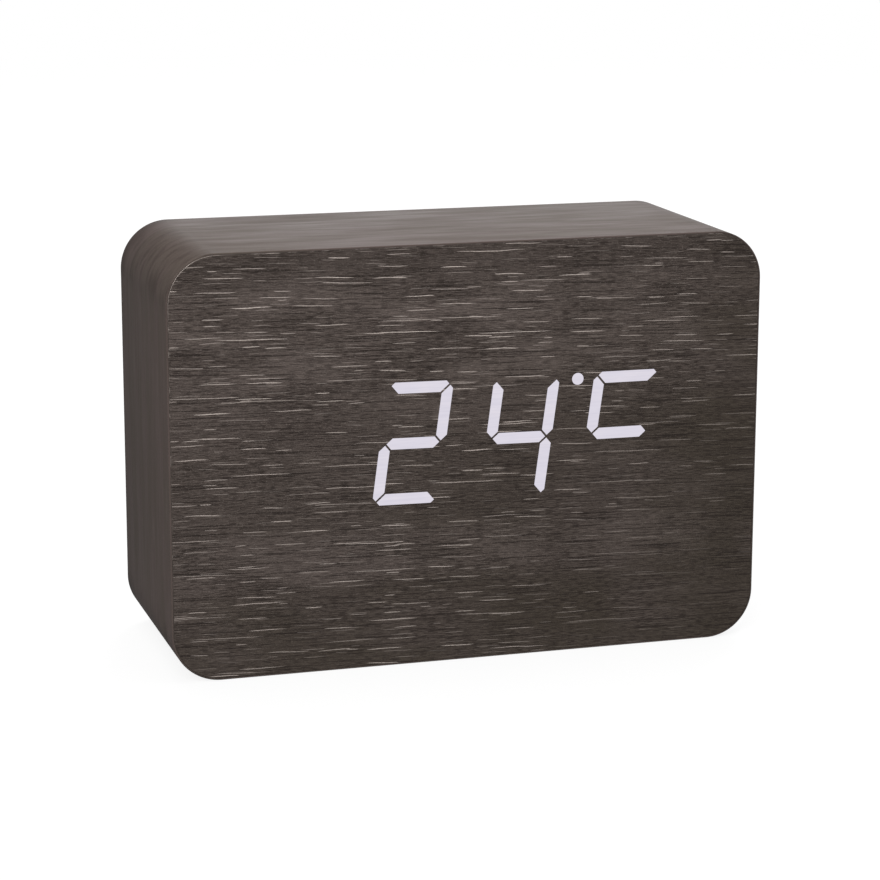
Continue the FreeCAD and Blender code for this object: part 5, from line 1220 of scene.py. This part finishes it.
studio = {
    "lensMm": 114.49, "azimuth": -16.87, "elevation": 12.79, "roll": 0.15, "distance": 681.8,
    "target": (0.6, 0.0, 47.25), "lampTarget": (0.0, 0.0, 50.0),
    "lightOfRoom": 0.5, "backdropBehind": 0.67, "backdropInFront": 0.1,
    "lamps": {  # where it stands in metres, side in metres, power in watts
        "keyLamp": ((-0.75, -1.05, 1.1), 0.9, 20.0),
        "topLamp": ((0.1, 0.25, 1.4), 1.1, 9.0),
        "rearLamp": ((0.7, 1.2, 0.9), 0.9, 16.0),
    },
}


def addCamera():
    data = bpy.data.cameras.new("photoCamera")
    data.lens, data.sensor_width = studio["lensMm"], 36.0
    data.clip_start, data.clip_end = 0.01, 50.0
    camera = addObject("photoCamera", data)
    turn, rise, roll = (math.radians(studio[name]) for name in ("azimuth", "elevation", "roll"))
    back = Vector((math.sin(turn) * math.cos(rise), -math.cos(turn) * math.cos(rise), math.sin(rise)))
    right = (-back).cross(Vector((0, 0, 1))).normalized()
    up = right.cross(-back)
    axes = (right * math.cos(roll) + up * math.sin(roll), up * math.cos(roll) - right * math.sin(roll), back)
    where = Vector(studio["target"]) * mm + back * studio["distance"] * mm
    camera.matrix_world = Matrix.Translation(where) @ Matrix(axes).transposed().to_4x4()
    bpy.context.scene.camera = camera


def addLamps():
    for name, (spot, side, power) in studio["lamps"].items():
        data = bpy.data.lights.new(name, "AREA")
        data.size, data.energy = side, power
        lamp = addObject(name, data)
        lamp.location = spot
        view = Vector(studio["lampTarget"]) * mm - Vector(spot)
        lamp.rotation_euler = view.to_track_quat("-Z", "Y").to_euler()
        lamp.visible_glossy = False


def addWorld():
    world = bpy.data.worlds.new("studioRoom")
    bpy.context.scene.world = world
    world.use_nodes = True
    rays = addNode("ShaderNodeLightPath", tree=world.node_tree)
    camera, glossy = rays["Is Camera Ray"], rays["Is Glossy Ray"]
    x, y, z = split(addNode("ShaderNodeTexCoord", tree=world.node_tree)["Generated"])
    # mirrored rays see the white backdrop behind the clock, and a darker room in front and on the left
    behind = times(ease(y, -0.1, 0.45), ease(x, -0.1, 0.3))
    mirrored = ease(behind, 0.0, 1.0, studio["backdropInFront"], studio["backdropBehind"])
    seen = most(camera, rays["Is Transmission Ray"])
    plain = minus(1.0, most(seen, glossy))
    strength = plus(plus(seen, times(glossy, mirrored)), times(plain, studio["lightOfRoom"]))
    backdrop = world.node_tree.nodes["Background"]
    backdrop.inputs["Color"].default_value = (1, 1, 1, 1)
    feed(backdrop.inputs["Strength"], strength)


floorLook = {"radius": 6.0, "segments": 96, "drop": 0.1, "paper": (0.98, 0.98, 0.98, 1),
             "shadowShare": 0.14, "shadowTo": (0.35, 1.6)}  # radius and the shadow's reach are in metres


def makeFloorMaterial():
    material = bpy.data.materials.new("paleFloor")
    material.use_nodes = True
    tree = material.node_tree
    tree.nodes.remove(tree.nodes["Principled BSDF"])
    where = addNode("ShaderNodeTexCoord", tree=tree)["Object"]
    far = addNode("ShaderNodeVectorMath", {0: where}, operation="LENGTH")["Value"]
    share = ease(far, *floorLook["shadowTo"], floorLook["shadowShare"], 0.0)
    paper = addNode("ShaderNodeBsdfDiffuse", {"Color": floorLook["paper"]}, tree)[0]
    white = addNode("ShaderNodeEmission", {"Color": (1, 1, 1, 1), "Strength": 1.0}, tree)[0]
    clear = addNode("ShaderNodeBsdfTransparent", tree=tree)[0]
    under = addNode("ShaderNodeNewGeometry", tree=tree)["Backfacing"]
    surface = addNode("ShaderNodeMixShader", {0: share, 1: white, 2: paper})[0]
    surface = addNode("ShaderNodeMixShader", {0: under, 1: surface, 2: clear})[0]
    feed(tree.nodes["Material Output"].inputs["Surface"], surface)
    return material


def addFloor():
    bm = bmesh.new()
    bmesh.ops.create_circle(bm, cap_ends=True, radius=floorLook["radius"], segments=floorLook["segments"])
    mesh = bpy.data.meshes.new("studioFloor")
    bm.to_mesh(mesh)
    bm.free()
    mesh.transform(Matrix.Translation((0, 0, -floorLook["drop"] * mm)))
    mesh.materials.append(makeFloorMaterial())
    floor = addObject("studioFloor", mesh)
    floor.visible_diffuse = floor.visible_glossy = floor.visible_shadow = False


addCamera()
addLamps()
addWorld()
addFloor()
bpy.context.scene.view_settings.view_transform = "Standard"
print("studio made")
